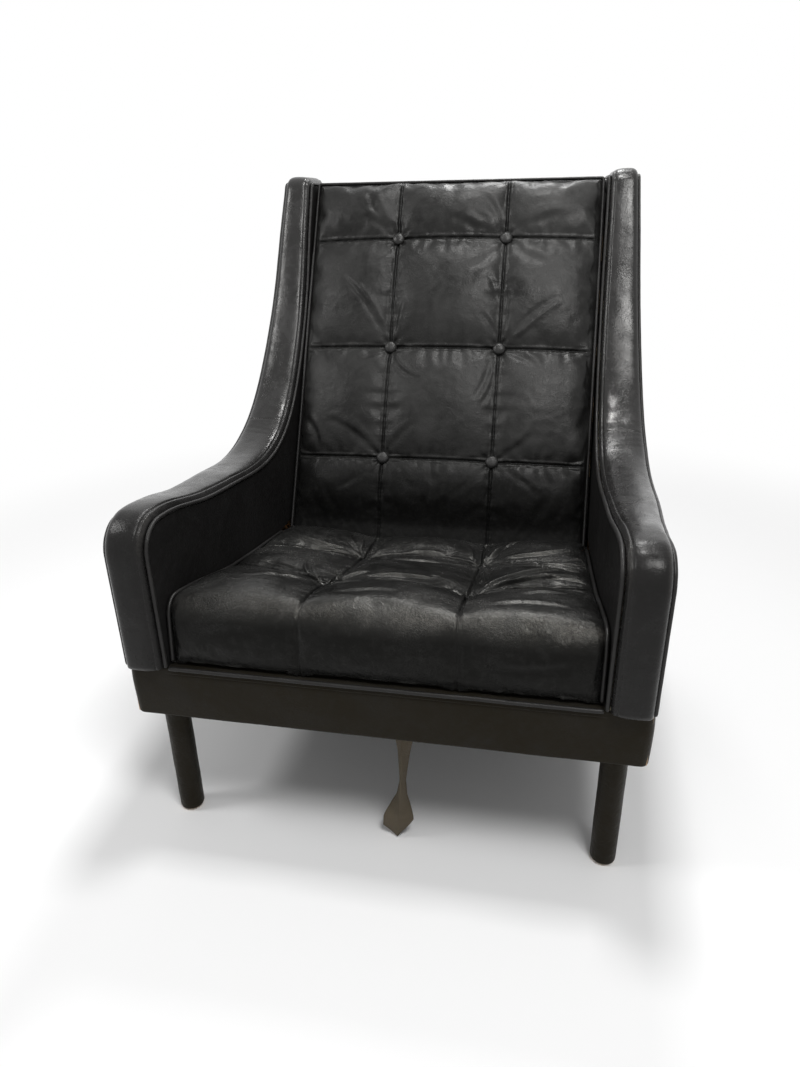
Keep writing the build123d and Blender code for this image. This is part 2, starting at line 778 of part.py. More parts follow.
def button_circles(radius):
    with BuildSketch(back_plane.offset(button_floor)) as circles:
        with Locations((0, button_middle)):
            with GridLocations(2 * button_across, button_pitch, 2, button_rows):
                Circle(radius)
    return circles.sketch


back_side_plane = Plane(origin=back_origin, x_dir=back_plane.y_dir, z_dir=(1, 0, 0))
with BuildPart() as back_foam:
    with BuildSketch(back_side_plane.offset(foam_margin - back_half_width)):
        with BuildLine():
            Polyline((foam_margin, foam_skin), (foam_margin, back_seat_level - foam_skin),
                     (back_cushion_height / 6, back_boxing), (back_cushion_height * 5 / 6, back_boxing),
                     (back_cushion_height - foam_margin, back_seat_level - foam_skin),
                     (back_cushion_height - foam_margin, foam_skin), close=True)
        make_face()
    extrude(amount=2 * (back_half_width - foam_margin))
save(back_foam, "back_cushion_foam")

with BuildPart() as back_cushion:
    sections = []
    for share, seam_share, crown_share in zip(back_station_shares, back_seam_shares, back_crown_shares):
        sections.append(crowned_section(section_plane(back_plane, back_cushion_height * share),
                                        back_half_width, 0, back_boxing,
                                        back_boxing + back_seam_rise * seam_share,
                                        back_crown * crown_share, side_draw_in))
    loft(sections, ruled=True)
    for side in (-1, 1):
        with BuildSketch(back_plane.offset(back_seat_level)):
            with Locations((side * (back_half_width - cushion_piping_seat / 2 + overrun / 2),
                            back_cushion_height / 2)):
                Rectangle(cushion_piping_seat + overrun, back_cushion_height + 2 * overrun)
        extrude(amount=back_boxing, mode=Mode.SUBTRACT)
        with BuildSketch(back_plane.offset(back_seat_level)):
            with Locations((0, back_cushion_height * (side + 1) / 2
                            - side * (cushion_piping_seat - overrun) / 2)):
                Rectangle(2 * back_half_width + overrun, cushion_piping_seat + overrun)
        extrude(amount=back_boxing, mode=Mode.SUBTRACT)
    extrude(button_circles(button_diameter / 2 + button_play), amount=back_boxing, mode=Mode.SUBTRACT)
    add(back_foam.part, mode=Mode.SUBTRACT)
save(back_cushion, "back_cushion")

with BuildPart() as back_piping:
    piping_centre = cushion_piping_seat / 2
    with BuildLine(back_plane.offset(back_boxing - piping_centre)) as piping_path:
        with Locations((0, back_cushion_height / 2)):
            with BuildSketch(back_plane.offset(back_boxing - piping_centre)) as piping_outline:
                with Locations((0, back_cushion_height / 2)):
                    RectangleRounded(2 * (back_half_width - piping_centre),
                                     back_cushion_height - 2 * piping_centre,
                                     back_corner_radius - piping_centre)
        add(piping_outline.sketch.wire())
    with BuildSketch(Plane(origin=piping_path.line @ 0, z_dir=piping_path.line % 0)):
        Circle(cushion_piping_radius)
    sweep(path=piping_path.line)
save(back_piping, "back_cushion_piping")

with BuildPart() as buttons:
    extrude(button_circles(button_diameter / 2), amount=button_height)
    button_tops = buttons.faces().sort_by(Axis(back_origin, back_plane.z_dir))[-2 * button_rows:]
    fillet(button_tops.edges(), button_height / 2)
save(buttons, "back_buttons")


# Back frame: rails and cleats behind the back cushion, with webbing across them
def back_point(up, out):
    """A place on the back's slope, as depth and height."""
    spot = back_plane.from_local_coords(Vector(0, up, out))
    return (spot.Y - front_face, spot.Z)


webbing_front = -seat_gap
webbing_back = webbing_front - webbing_wall
low_rail_end = back_low_rail_start + back_low_rail_height
top_rail_end = back_cushion_height - back_top_rail_drop
top_rail_start = top_rail_end - back_top_rail_height
back_strap_spacing = (top_rail_start - low_rail_end) / back_strap_count


def back_bar(inner, outer, start, end):
    """Front view of a bar on the back's slope."""
    with BuildSketch(back_plane.offset(webbing_back)) as outline:
        with Locations(((inner + outer) / 2, (start + end) / 2)):
            Rectangle(outer - inner, end - start)
    return outline.sketch


with BuildPart() as back_low_rail:
    extrude(back_bar(-side_inner_face, side_inner_face, back_low_rail_start, low_rail_end),
            amount=-back_rail_thickness)
save(back_low_rail, "back_low_rail")

with BuildPart() as back_top_rail:
    extrude(back_bar(-side_inner_face, side_inner_face, top_rail_start, top_rail_end),
            amount=-back_rail_thickness)
save(back_top_rail, "back_top_rail")

with BuildPart() as back_cleat:
    extrude(back_bar(side_inner_face - cleat_thickness, side_inner_face, low_rail_end, top_rail_start),
            amount=-back_rail_thickness)
save_pair(back_cleat, "back_cleat")

with BuildPart() as back_webbing:
    with BuildSketch(back_plane.offset(webbing_back)):
        for strap in range(back_strap_count):
            with Locations((0, low_rail_end + (strap + 0.5) * back_strap_spacing)):
                Rectangle(2 * (side_inner_face - seat_gap), webbing_width)
    extrude(amount=webbing_wall)
save(back_webbing, "back_webbing")

# Leather roll over the top rail, between the wings
roll_foot = back_point(top_rail_end, webbing_front)
roll_head = back_point(back_cushion_height, webbing_front)
rear_gap = (rear_depth(roll_foot[1]) - roll_foot[0]) / (math.cos(rake) + rear_slope * math.sin(rake))
roll_rear_foot = (roll_foot[0] + rear_gap * math.cos(rake), roll_foot[1] - rear_gap * math.sin(rake))
roll_top = side_top - outside_back_drop
with BuildPart() as top_roll:
    with BuildSketch(side_plane(-side_inner_face)):
        with BuildLine():
            Polyline(roll_foot, roll_head, (rear_depth(roll_top), roll_top), roll_rear_foot, close=True)
        make_face()
    extrude(amount=2 * side_inner_face)
save(top_roll, "back_top_roll")

# Outside back: one leather panel over the rear edges of both sides
rear_rise = side_top - outside_back_drop - base_top
rear_line = Vector(0, rear_slope, 1)
rear_plane = Plane(origin=(0, front_face + base_depth, base_top), x_dir=(1, 0, 0),
                   z_dir=Vector(1, 0, 0).cross(rear_line))
with BuildPart() as outside_back:
    right_edge = []
    left_edge = []
    for row in range(swell_grid):
        height = base_top + rear_rise * row / (swell_grid - 1)
        half = outer_face(rear_depth(height), height) - outside_back_inset
        right_edge.append((half, (height - base_top) * rear_line.length))
        left_edge.insert(0, (-half, (height - base_top) * rear_line.length))
    with BuildSketch(rear_plane):
        with BuildLine():
            Polyline(*right_edge, *left_edge, close=True)
        make_face()
    extrude(amount=-outside_back_wall)
save(outside_back, "outside_back")

# Hanging strap: webbing tacked behind the front rail, its sides folded back below the rail
with BuildPart() as hanging_strap:
    sections = []
    for level, wide, fold in zip(strap_level_shares, strap_half_width_shares, strap_fold_shares):
        height = strap_floor_gap + (strap_tack_height - strap_floor_gap) * level
        half = strap_width * wide
        ridge = front_rail_back + strap_width * fold
        with BuildSketch(floor_plane(height)) as section:
            with BuildLine():
                Polyline((strap_across - half, front_rail_back), (strap_across, ridge),
                         (strap_across + half, front_rail_back),
                         (strap_across + half, front_rail_back + strap_wall),
                         (strap_across, ridge + strap_wall),
                         (strap_across - half, front_rail_back + strap_wall), close=True)
            make_face()
        sections.append(section.sketch)
    loft(sections, ruled=True)
save(hanging_strap, "hanging_strap")
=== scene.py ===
"""Leather, cushions, piping and stage for a high-backed lounge chair, built round its CAD frame."""

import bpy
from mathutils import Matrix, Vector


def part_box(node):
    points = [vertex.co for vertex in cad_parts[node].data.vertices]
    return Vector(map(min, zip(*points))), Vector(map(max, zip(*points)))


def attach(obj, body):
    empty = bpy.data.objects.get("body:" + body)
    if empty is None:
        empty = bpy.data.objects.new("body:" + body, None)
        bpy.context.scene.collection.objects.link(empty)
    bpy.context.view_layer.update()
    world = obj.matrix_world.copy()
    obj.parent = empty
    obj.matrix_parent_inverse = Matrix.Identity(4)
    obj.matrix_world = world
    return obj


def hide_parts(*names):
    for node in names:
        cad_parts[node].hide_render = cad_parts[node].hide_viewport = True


bl_info = {
    "name": "Leather lounge chair dressing",
    "version": (1, 0, 0),
    "blender": (4, 5, 0),
    "location": "View3D > Sidebar > Lounge chair",
    "description": "Dresses the packed lounge chair with leather, stuffing, piping and webbing",
    "category": "Object",
}

import math

import bmesh
import bpy
import numpy as np
from mathutils import Matrix, Vector, noise

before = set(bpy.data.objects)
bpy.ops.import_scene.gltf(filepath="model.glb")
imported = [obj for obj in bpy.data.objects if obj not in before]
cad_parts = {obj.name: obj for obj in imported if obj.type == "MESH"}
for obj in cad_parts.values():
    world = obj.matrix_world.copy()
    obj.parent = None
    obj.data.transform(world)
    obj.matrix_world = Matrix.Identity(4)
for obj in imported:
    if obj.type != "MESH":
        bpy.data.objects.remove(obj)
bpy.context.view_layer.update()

MM = 0.001
base_low, base_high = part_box("base_cover")
FRONT = base_low.y
BASE_TOP = base_high.z
BASE_BOTTOM = base_low.z
BASE_HALF = base_high.x
BASE_DEPTH = base_high.y - base_low.y
SIDES = ((-1, "left"), (1, "right"))

# The side's outline, in metres back from the base's front face and up from the floor
SIDE_INNER = 0.298
ARM_CORNER_RADIUS = 0.036
ARM_FRONT_HEIGHT = 0.5025
ARM_LINE = (
    (0.1666, 0.47888), (0.2975, 0.4593), (0.42245, 0.4464), (0.50873, 0.45538), (0.595, 0.49509))
WING_LINE = (
    (0.64912, 0.54435), (0.70914, 0.62348), (0.77114, 0.73754), (0.80902, 0.83813), (0.841, 0.916))
WING_END_RUN = (0.0615, 0.1764)
WING_CORNER_RADIUS = 0.009
TOP_EDGE_END = 0.935
SWELL = 0.028
SWELL_START = 0.080
SWELL_FULL = 0.511
SWELL_HEIGHT = 0.465
SWELL_LEAN = 1.1
WING_HEIGHT = 0.916

# The two cushions' beds: where they start and how they lean
DECK_START = 0.0265
DECK_SLOPE = 0.118
DECK_ANGLE = math.atan(DECK_SLOPE)
BACK_FOOT = 0.5436
BACK_FOOT_GAP = 0.0003
BACK_FOOT_HEIGHT = BASE_TOP - DECK_SLOPE * (BACK_FOOT - DECK_START) + BACK_FOOT_GAP
BACK_RAKE = math.radians(28.2)


# ---- Sizes and colours that a user may change ----

def length_setting(name, description, default):
    return bpy.props.FloatProperty(name=name, description=description, default=default, unit="LENGTH")


def colour_setting(name, description, default):
    return bpy.props.FloatVectorProperty(name=name, description=description, default=default, subtype="COLOR")


class ChairSizes(bpy.types.PropertyGroup):
    """Lengths of the dressing."""
    band_crown: length_setting("Band crown", "How far the arm band stands over the arm's edge", 0.017)
    piping_radius: length_setting("Side piping radius", "Radius of the piping along the sides", 0.0033)
    cushion_piping_radius: length_setting(
        "Cushion piping radius", "Radius of the piping on the loose cushions", 0.003)
    back_crown: length_setting("Back crown", "Rise of each padded field of the back cushion", 0.0095)
    seat_crown: length_setting("Seat crown", "Rise of each padded field of the seat cushion", 0.014)
    button_radius: length_setting("Button radius", "Radius of the covered buttons", 0.0127)
    button_height: length_setting("Button height", "Height of the covered buttons", 0.008)
    seam_depth: length_setting("Seam depth", "Depth of the stitched line in each seam", 0.0022)
    leg_radius: length_setting("Leg radius", "Outer radius of the leather leg sleeve", 0.0185)
    strap_width: length_setting("Strap width", "Width of the hanging webbing strap, laid flat", 0.053)


class ChairColours(bpy.types.PropertyGroup):
    """Colours of the finishes, in linear values."""
    side_leather: colour_setting("Side leather", "Leather of the sides and bands", (0.0090, 0.0086, 0.0084))
    side_haze: colour_setting("Side haze", "Rubbed grey cast on the side leather", (0.0240, 0.0235, 0.0235))
    base_leather: colour_setting(
        "Base leather", "Warmer leather round the base and legs", (0.0130, 0.0108, 0.0072))
    cushion_leather: colour_setting(
        "Cushion leather", "Cool black leather of the cushions", (0.0078, 0.0077, 0.0074))
    # Partly painted sheen: on the cushions this grey shows on the faces turned to the lamps
    cushion_haze_and_sheen: colour_setting(
        "Cushion haze", "Dry grey cast on the back cushion", (0.0300, 0.0297, 0.0288))
    worn_edge: colour_setting(
        "Worn edge", "Grey-tan of leather rubbed through its finish", (0.135, 0.126, 0.112))
    strap: colour_setting("Strap", "Taupe grey of the hanging webbing", (0.230, 0.190, 0.135))
    jute: colour_setting("Jute", "Jute of the webbing under the cushions", (0.36, 0.27, 0.17))
    beech: colour_setting("Beech", "Bare beech of the frame", (0.52, 0.36, 0.22))
    glide: colour_setting("Glide", "Pale tan of the glides", (0.56, 0.43, 0.28))
    floor: colour_setting("Floor", "Pale floor of the stage", (0.93, 0.93, 0.93))


def sizes():
    return bpy.context.scene.chair_sizes


def colours():
    return bpy.context.scene.chair_colours


# ---- Finishes ----

class Nodes:
    """A material's or the world's nodes, emptied, and short ways to add to them."""

    def __init__(self, owner):
        owner.use_nodes = True
        self.nodes, self.links = owner.node_tree.nodes, owner.node_tree.links
        self.nodes.clear()

    def put(self, kind, settings=None, **sockets):
        node = self.nodes.new("ShaderNode" + kind)
        for key, value in (settings or {}).items():
            setattr(node, key, value)
        for key, value in sockets.items():
            self.feed(node.inputs[key.replace("_", " ")], value)
        return node

    def feed(self, socket, value):
        if isinstance(value, bpy.types.NodeSocket):
            self.links.new(value, socket)
        else:
            socket.default_value = value

    def sum(self, operation, first, second):
        node = self.put("Math", {"operation": operation})
        self.feed(node.inputs[0], first)
        self.feed(node.inputs[1], second)
        return node.outputs[0]

    def spread(self, value, low, high, to_low=0.0, to_high=1.0):
        node = self.put("MapRange", {"interpolation_type": "SMOOTHSTEP"}, Value=value)
        for index, limit in enumerate((low, high, to_low, to_high)):
            node.inputs[index + 1].default_value = limit
        return node.outputs[0]

    def white_rays(self):
        """1 for the rays that see the surround as plain white: straight, mirrored or let through."""
        rays = self.put("LightPath").outputs
        seen = self.sum("MAXIMUM", rays["Is Camera Ray"], rays["Is Glossy Ray"])
        return self.sum("MAXIMUM", seen, rays["Is Transmission Ray"])


class Finish(Nodes):
    """One procedural material: a principled shader and the nodes that feed it."""

    def __init__(self, name, roughness=0.5, specular=0.5):
        self.material = bpy.data.materials.new(name)
        super().__init__(self.material)
        self.shader = self.put("BsdfPrincipled", None, Roughness=roughness, Specular_IOR_Level=specular)
        self.surface = self.put("OutputMaterial").inputs["Surface"]
        self.links.new(self.shader.outputs["BSDF"], self.surface)
        self.place = self.put("TexCoord").outputs["Object"]

    def mix(self, share, first, second):
        node = self.put("Mix", {"data_type": "RGBA"})
        for index, value in ((0, share), (6, first), (7, second)):
            self.feed(node.inputs[index], value)
        return node.outputs[2]

    def cloud(self, scale, detail=4.0, roughness=0.55, distortion=0.0, place=None):
        return self.put("TexNoise", None, Vector=place or self.place, Scale=scale, Detail=detail,
                        Roughness=roughness, Distortion=distortion).outputs["Fac"]

    def cells(self, scale, feature="F1", place=None):
        return self.put("TexVoronoi", {"feature": feature}, Vector=place or self.place,
                        Scale=scale).outputs["Distance"]

    def bump(self, height, distance, strength=1.0, under=None):
        node = self.put("Bump", None, Height=height, Distance=distance, Strength=strength)
        if under is not None:
            self.links.new(under, node.inputs["Normal"])
        return node.outputs["Normal"]

    def finish(self, colour=None, normal=None, roughness=None):
        for name, value in (("Base Color", colour), ("Normal", normal), ("Roughness", roughness)):
            if value is not None:
                self.feed(self.shader.inputs[name], value)
        return self.material


def rgba(colour, gain=1.0):
    return (colour[0] * gain, colour[1] * gain, colour[2] * gain, 1.0)


# How fine each pattern of the leather is, as its texture's scale
CAST_SCALE, SWELL_SCALE, WRINKLE_SCALE = 7.5, 30.0, 48.0
GRAIN_SCALE, NET_SCALE, PORE_SCALE = 260.0, 270.0, 820.0
PATCH_SCALE, MOTTLE_SCALE, RUB_SCALE = 11.0, 85.0, 240.0
# How deep its relief goes, in metres, and how far a swirl bends the net
PORE_DEPTH, GRAIN_DEPTH, NET_DEPTH, WRINKLE_DEPTH, SWELL_DEPTH = 0.00016, 0.0004, 0.0004, 0.0016, 0.0022
SWIRL_SCALE, SWIRL_REACH = 70.0, 0.012


def leather(name, deep, haze, worn, roughness, haze_share=0.6, crackle=0.35, specular=0.22,
            sheen_tint=(1.0, 0.99, 0.97), by_sheen_mask=False):
    """Aniline leather: pores, a net of fine creases, a grey haze that is partly painted sheen, and wear where
    the mesh says so.

    With the sheen mask switched on, the mesh's painted sheen value sets the haze: where it is low the leather
    keeps a deep black with weak reflections, as painted shade; where it is high the grey haze shows as
    painted sheen.
    """
    hide = Finish(name, roughness, specular)
    hide.shader.inputs["Specular Tint"].default_value = (*sheen_tint, 1.0)
    large = hide.cloud(CAST_SCALE, 6.0, 0.62, 1.1)
    fine = hide.cloud(MOTTLE_SCALE, 4.0, 0.6)
    wear = hide.put("Attribute", {"attribute_name": "wear"}).outputs["Fac"]
    warped = hide.put("VectorMath", {"operation": "ADD"})
    hide.feed(warped.inputs[0], hide.place)
    swirl = hide.put("TexNoise", None, Vector=hide.place, Scale=SWIRL_SCALE, Detail=4.0)
    shrink = hide.put("VectorMath", {"operation": "SCALE"}, Scale=SWIRL_REACH)
    hide.feed(shrink.inputs[0], swirl.outputs["Color"])
    hide.feed(warped.inputs[1], shrink.outputs[0])
    net = hide.cells(NET_SCALE, "DISTANCE_TO_EDGE", warped.outputs[0])
    lines = hide.spread(net, 0.0, 0.14, 1.0, 0.0)
    patches = hide.spread(hide.cloud(PATCH_SCALE, 3.0), 0.45, 0.68)
    cracked = hide.sum("MULTIPLY", lines, hide.sum("MAXIMUM", patches, wear))
    # Grey cast in random patches; where the sheen mask is on, it is also painted sheen
    haze_and_sheen = hide.spread(large, 0.36, 0.72, 0.0, haze_share)
    # Painted shade and sheen: the mesh's value cuts the haze and the reflections on faces turned from the
    # lamps
    if by_sheen_mask:
        sheen_mask = hide.put("Attribute", {"attribute_name": "wear_and_sheen"}).outputs["Fac"]
        haze_and_sheen = hide.sum("MULTIPLY", haze_and_sheen, sheen_mask)
        hide.feed(hide.shader.inputs["Specular Tint"],
                  hide.mix(sheen_mask, rgba(sheen_tint, 0.22), rgba(sheen_tint)))
    colour = hide.mix(haze_and_sheen, rgba(deep), rgba(haze))
    colour = hide.mix(hide.spread(fine, 0.45, 0.8, 0.0, 0.35), colour, rgba(haze, 0.8))
    wear_and_sheen = hide.sum("MULTIPLY", wear,
                      hide.spread(hide.cloud(RUB_SCALE, 3.0, 0.7), 0.36, 0.66, 0.1, 0.55))
    colour = hide.mix(wear_and_sheen, colour, rgba(worn))
    colour = hide.mix(hide.sum("MULTIPLY", cracked, 0.18), colour, rgba(haze, 1.5))
    pores = hide.bump(hide.cells(PORE_SCALE, "SMOOTH_F1"), PORE_DEPTH, 0.55)
    grain = hide.bump(hide.cloud(GRAIN_SCALE, 5.0, 0.65), GRAIN_DEPTH, 0.5, pores)
    net_relief = hide.bump(hide.sum("MULTIPLY", cracked, -1.0), NET_DEPTH, crackle, grain)
    wrinkles = hide.bump(hide.cloud(WRINKLE_SCALE, 6.0, 0.62, 2.2), WRINKLE_DEPTH, crackle, net_relief)
    soft = hide.bump(hide.cloud(SWELL_SCALE, 3.0, 0.5), SWELL_DEPTH, 0.35, wrinkles)
    gloss = hide.sum("ADD", hide.spread(large, 0.3, 0.7, roughness - 0.06, roughness + 0.08),
                     hide.spread(fine, 0.3, 0.75, -0.05, 0.06))
    return hide.finish(colour, soft, gloss)


# The wave texture's scale for a thread of one metre
WEAVE_SCALE = 0.314 * math.pi


def woven(name, colour, thread=0.0024, shade=0.45, from_map=False):
    """Plain weave: two sets of threads, over and under, with slubs and dirt."""
    cloth = Finish(name, 0.9, 0.2)
    place = cloth.put("UVMap", {"uv_map": "laid_flat"}).outputs[0] if from_map else cloth.place
    scale = WEAVE_SCALE / thread
    warp, weft = (cloth.put("TexWave", {"bands_direction": way}, Vector=place, Scale=scale,
                            Distortion=0.4, Detail=1.0).outputs["Fac"] for way in "XY")
    checks = cloth.sum("MULTIPLY", warp, weft)
    dirt = cloth.spread(cloth.cloud(26.0, 5.0, 0.65), 0.35, 0.7)
    tone = cloth.mix(checks, rgba(colour, shade), rgba(colour, 1.35))
    tone = cloth.mix(cloth.sum("MULTIPLY", dirt, 0.5), tone, rgba(colour, 0.55))
    relief = cloth.bump(checks, 0.0006, 0.9)
    fuzz = cloth.bump(cloth.cloud(900.0, 3.0), 0.0003, 0.6, relief)
    return cloth.finish(tone, fuzz)


def timber(name, colour):
    """Sawn beech: long grain with short flecks."""
    wood = Finish(name, 0.62, 0.35)
    long_grain = wood.put("Mapping", None, Vector=wood.place, Scale=(60.0, 60.0, 6.0)).outputs[0]
    rings = wood.cloud(1.0, 5.0, 0.5, 1.2, long_grain)
    flecks = wood.spread(wood.cells(420.0), 0.0, 0.35, 1.0, 0.0)
    tone = wood.mix(wood.spread(rings, 0.35, 0.7), rgba(colour), rgba(colour, 0.66))
    tone = wood.mix(wood.sum("MULTIPLY", flecks, 0.3), tone, rgba(colour, 0.45))
    return wood.finish(tone, wood.bump(rings, 0.0005, 0.5))


def plain_finish(name, colour, roughness, metallic=0.0, relief=0.0003, scale=220.0, specular=0.5):
    """A cast or turned finish with slight tone and surface changes."""
    stuff = Finish(name, roughness, specular)
    stuff.shader.inputs["Metallic"].default_value = metallic
    blotch = stuff.cloud(38.0, 4.0)
    speck = stuff.cloud(scale, 4.0, 0.6)
    tone = stuff.mix(stuff.spread(blotch, 0.35, 0.7), rgba(colour), rgba(colour, 0.72))
    tone = stuff.mix(stuff.spread(speck, 0.55, 0.8, 0.0, 0.4), tone, rgba(colour, 0.5))
    rough = stuff.spread(speck, 0.3, 0.7, roughness - 0.08, roughness + 0.08)
    return stuff.finish(tone, stuff.bump(speck, relief, 0.5), rough)


finishes = {}


def make_finishes():
    tint = colours()
    side, haze, worn, base, cool = (tint.side_leather, tint.side_haze, tint.worn_edge, tint.base_leather,
                                    tint.cushion_leather)
    warm = (1.0, 0.9, 0.7)
    finishes["side"] = leather("side_leather", side, haze, worn, 0.26, 0.4, 0.25, 0.26)
    # The arm bands: the side leather with stronger reflections, its haze and reflections cut on the front
    # faces as painted shade
    finishes["band"] = leather("band_leather", side, haze, worn, 0.24, 0.45, 0.15, 0.36,
                               (1.0, 0.99, 0.97), True)
    # Painted shade: the inner side panels are the side leather with little haze and reflection, darker for
    # the shade between the cushions and the arms
    finishes["inner"] = leather("inner_side_leather_shaded", side, haze, worn, 0.6, 0.15, 0.4, 0.05)
    finishes["base"] = leather("base_leather", base, haze, worn, 0.42, 0.3, 0.3, 0.08, warm)
    finishes["leg"] = leather("leg_leather", base, haze, worn, 0.38, 0.3, 0.5, 0.08, warm)
    # Painted sheen: the seat's strong grey haze stands for the soft sheen of its lit top
    finishes["seat"] = leather("seat_leather", cool, tint.cushion_haze_and_sheen, worn, 0.2, 0.75, 0.7, 0.26,
                               (1.0, 0.98, 0.9), True)
    finishes["back"] = leather("back_leather", cool, tint.cushion_haze_and_sheen, worn, 0.36, 0.85, 0.3, 0.22,
                               (1.0, 0.99, 0.97), True)
    finishes["button"] = leather("button_leather", cool, haze, worn, 0.33, 0.5, 0.5, 0.35)
    finishes["piping"] = leather("piping_leather", side, haze, worn, 0.36, 0.4, 0.3, 0.24)
    finishes["strap"] = woven("strap_webbing", tint.strap, 0.0022, 0.4, True)
    finishes["jute"] = woven("jute_webbing", tint.jute, 0.0026)
    finishes["lining"] = woven("lining_cloth", (0.03, 0.03, 0.03), 0.0012, 0.7)
    finishes["beech"] = timber("bare_beech", tint.beech)
    # Frame parts that show in the gaps: near black, partly for the black lining over them, partly painted
    # shade
    finishes["dark_lining_and_shade"] = timber("beech_dark_as_lining_and_shade", (0.012, 0.010, 0.008))
    finishes["stuffing"] = plain_finish("stuffing", (0.62, 0.55, 0.4), 0.95, 0.0, 0.002, 120.0, 0.1)
    finishes["thread"] = plain_finish("waxed_thread", (0.02, 0.02, 0.02), 0.6, 0.0, 0.0002, 900.0)
    finishes["steel"] = plain_finish("zinc_steel", (0.5, 0.5, 0.5), 0.4, 1.0, 0.0001, 500.0)
    finishes["glide"] = plain_finish("tan_glide", tint.glide, 0.55)


# ---- Mesh helpers ----

def piece(name, mesh_or_bm, finish, body):
    """A finished object with smooth faces that rides on its body."""
    mesh = mesh_or_bm
    if isinstance(mesh_or_bm, bmesh.types.BMesh):
        mesh = bpy.data.meshes.new(name)
        mesh_or_bm.to_mesh(mesh)
        mesh_or_bm.free()
    mesh.polygons.foreach_set("use_smooth", [True] * len(mesh.polygons))
    mesh.materials.clear()
    mesh.materials.append(finishes[finish])
    made = bpy.data.objects.new(name, mesh)
    bpy.context.scene.collection.objects.link(made)
    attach(made, body)
    return made


def smoother(made, levels=1):
    rounding = made.modifiers.new("rounding", "SUBSURF")
    rounding.levels = rounding.render_levels = levels


def bent_grid(columns, rows, shape, weld=False, cap=False, laid_flat=None):
    """A grid bent by shape(column, row), with its joined edges welded and its open ends filled."""
    bm = bmesh.new()
    wear = bm.verts.layers.float.new("wear")
    chart = bm.loops.layers.uv.new("laid_flat") if laid_flat else None
    bmesh.ops.create_grid(bm, x_segments=columns, y_segments=rows, size=0.5, calc_uvs=bool(laid_flat))
    for vert in bm.verts:
        column, row = round((vert.co.x + 0.5) * columns), round((vert.co.y + 0.5) * rows)
        vert.co, vert[wear] = shape(column, row)
    if chart:
        for face in bm.faces:
            for loop in face.loops:
                loop[chart].uv = (loop[chart].uv[0] * laid_flat[0], loop[chart].uv[1] * laid_flat[1])
    if weld:
        bmesh.ops.remove_doubles(bm, verts=bm.verts, dist=1e-6)
    if cap:
        bmesh.ops.holes_fill(bm, edges=[edge for edge in bm.edges if edge.is_boundary], sides=0)
    bmesh.ops.recalc_face_normals(bm, faces=bm.faces)
    return bm


def graded(start, end, close_to, coarse, fine, reach):
    """Positions from start to end, closer together beside the given places."""
    stops = {start, end}
    for spot in close_to:
        stops.update(stop for stop in (spot - reach, spot, spot + reach) if start < stop < end)
    stops = sorted(stops)
    lines = [start]
    for low, high in zip(stops[:-1], stops[1:]):
        middle = (low + high) / 2
        near = any(abs(middle - spot) < reach for spot in close_to)
        steps = max(1, math.ceil((high - low) / (fine if near else coarse)))
        lines += [low + (high - low) * step / steps for step in range(1, steps + 1)]
    return lines


def clamped_spline(points, first, last, samples=24):
    """A smooth line through points that leaves and arrives in the given directions."""
    points = np.array(points, float)
    gaps = np.linalg.norm(np.diff(points, axis=0), axis=1)
    count = len(points)
    system, known = np.zeros((count, count)), np.zeros((count, 2))
    system[0, 0] = system[-1, -1] = 1.0
    known[0] = np.array(first) / np.linalg.norm(first)
    known[-1] = np.array(last) / np.linalg.norm(last)
    for k in range(1, count - 1):
        before, after = gaps[k - 1], gaps[k]
        system[k, k - 1:k + 2] = after, 2 * (before + after), before
        known[k] = 3 * (after * (points[k] - points[k - 1]) / before
                        + before * (points[k + 1] - points[k]) / after)
    slopes = np.linalg.solve(system, known)
    share = np.linspace(0, 1, samples, endpoint=False)[:, None]
    runs = []
    for k in range(count - 1):
        runs.append((2 * share ** 3 - 3 * share ** 2 + 1) * points[k]
                    + (share ** 3 - 2 * share ** 2 + share) * gaps[k] * slopes[k]
                    + (3 * share ** 2 - 2 * share ** 3) * points[k + 1]
                    + (share ** 3 - share ** 2) * gaps[k] * slopes[k + 1])
    return np.vstack(runs + [points[-1:]])


def corner_arc(centre, radius, start, turn, samples=16):
    angles = np.radians(start + turn * np.linspace(0, 1, samples))
    return np.column_stack([centre[0] + radius * np.cos(angles), centre[1] + radius * np.sin(angles)])


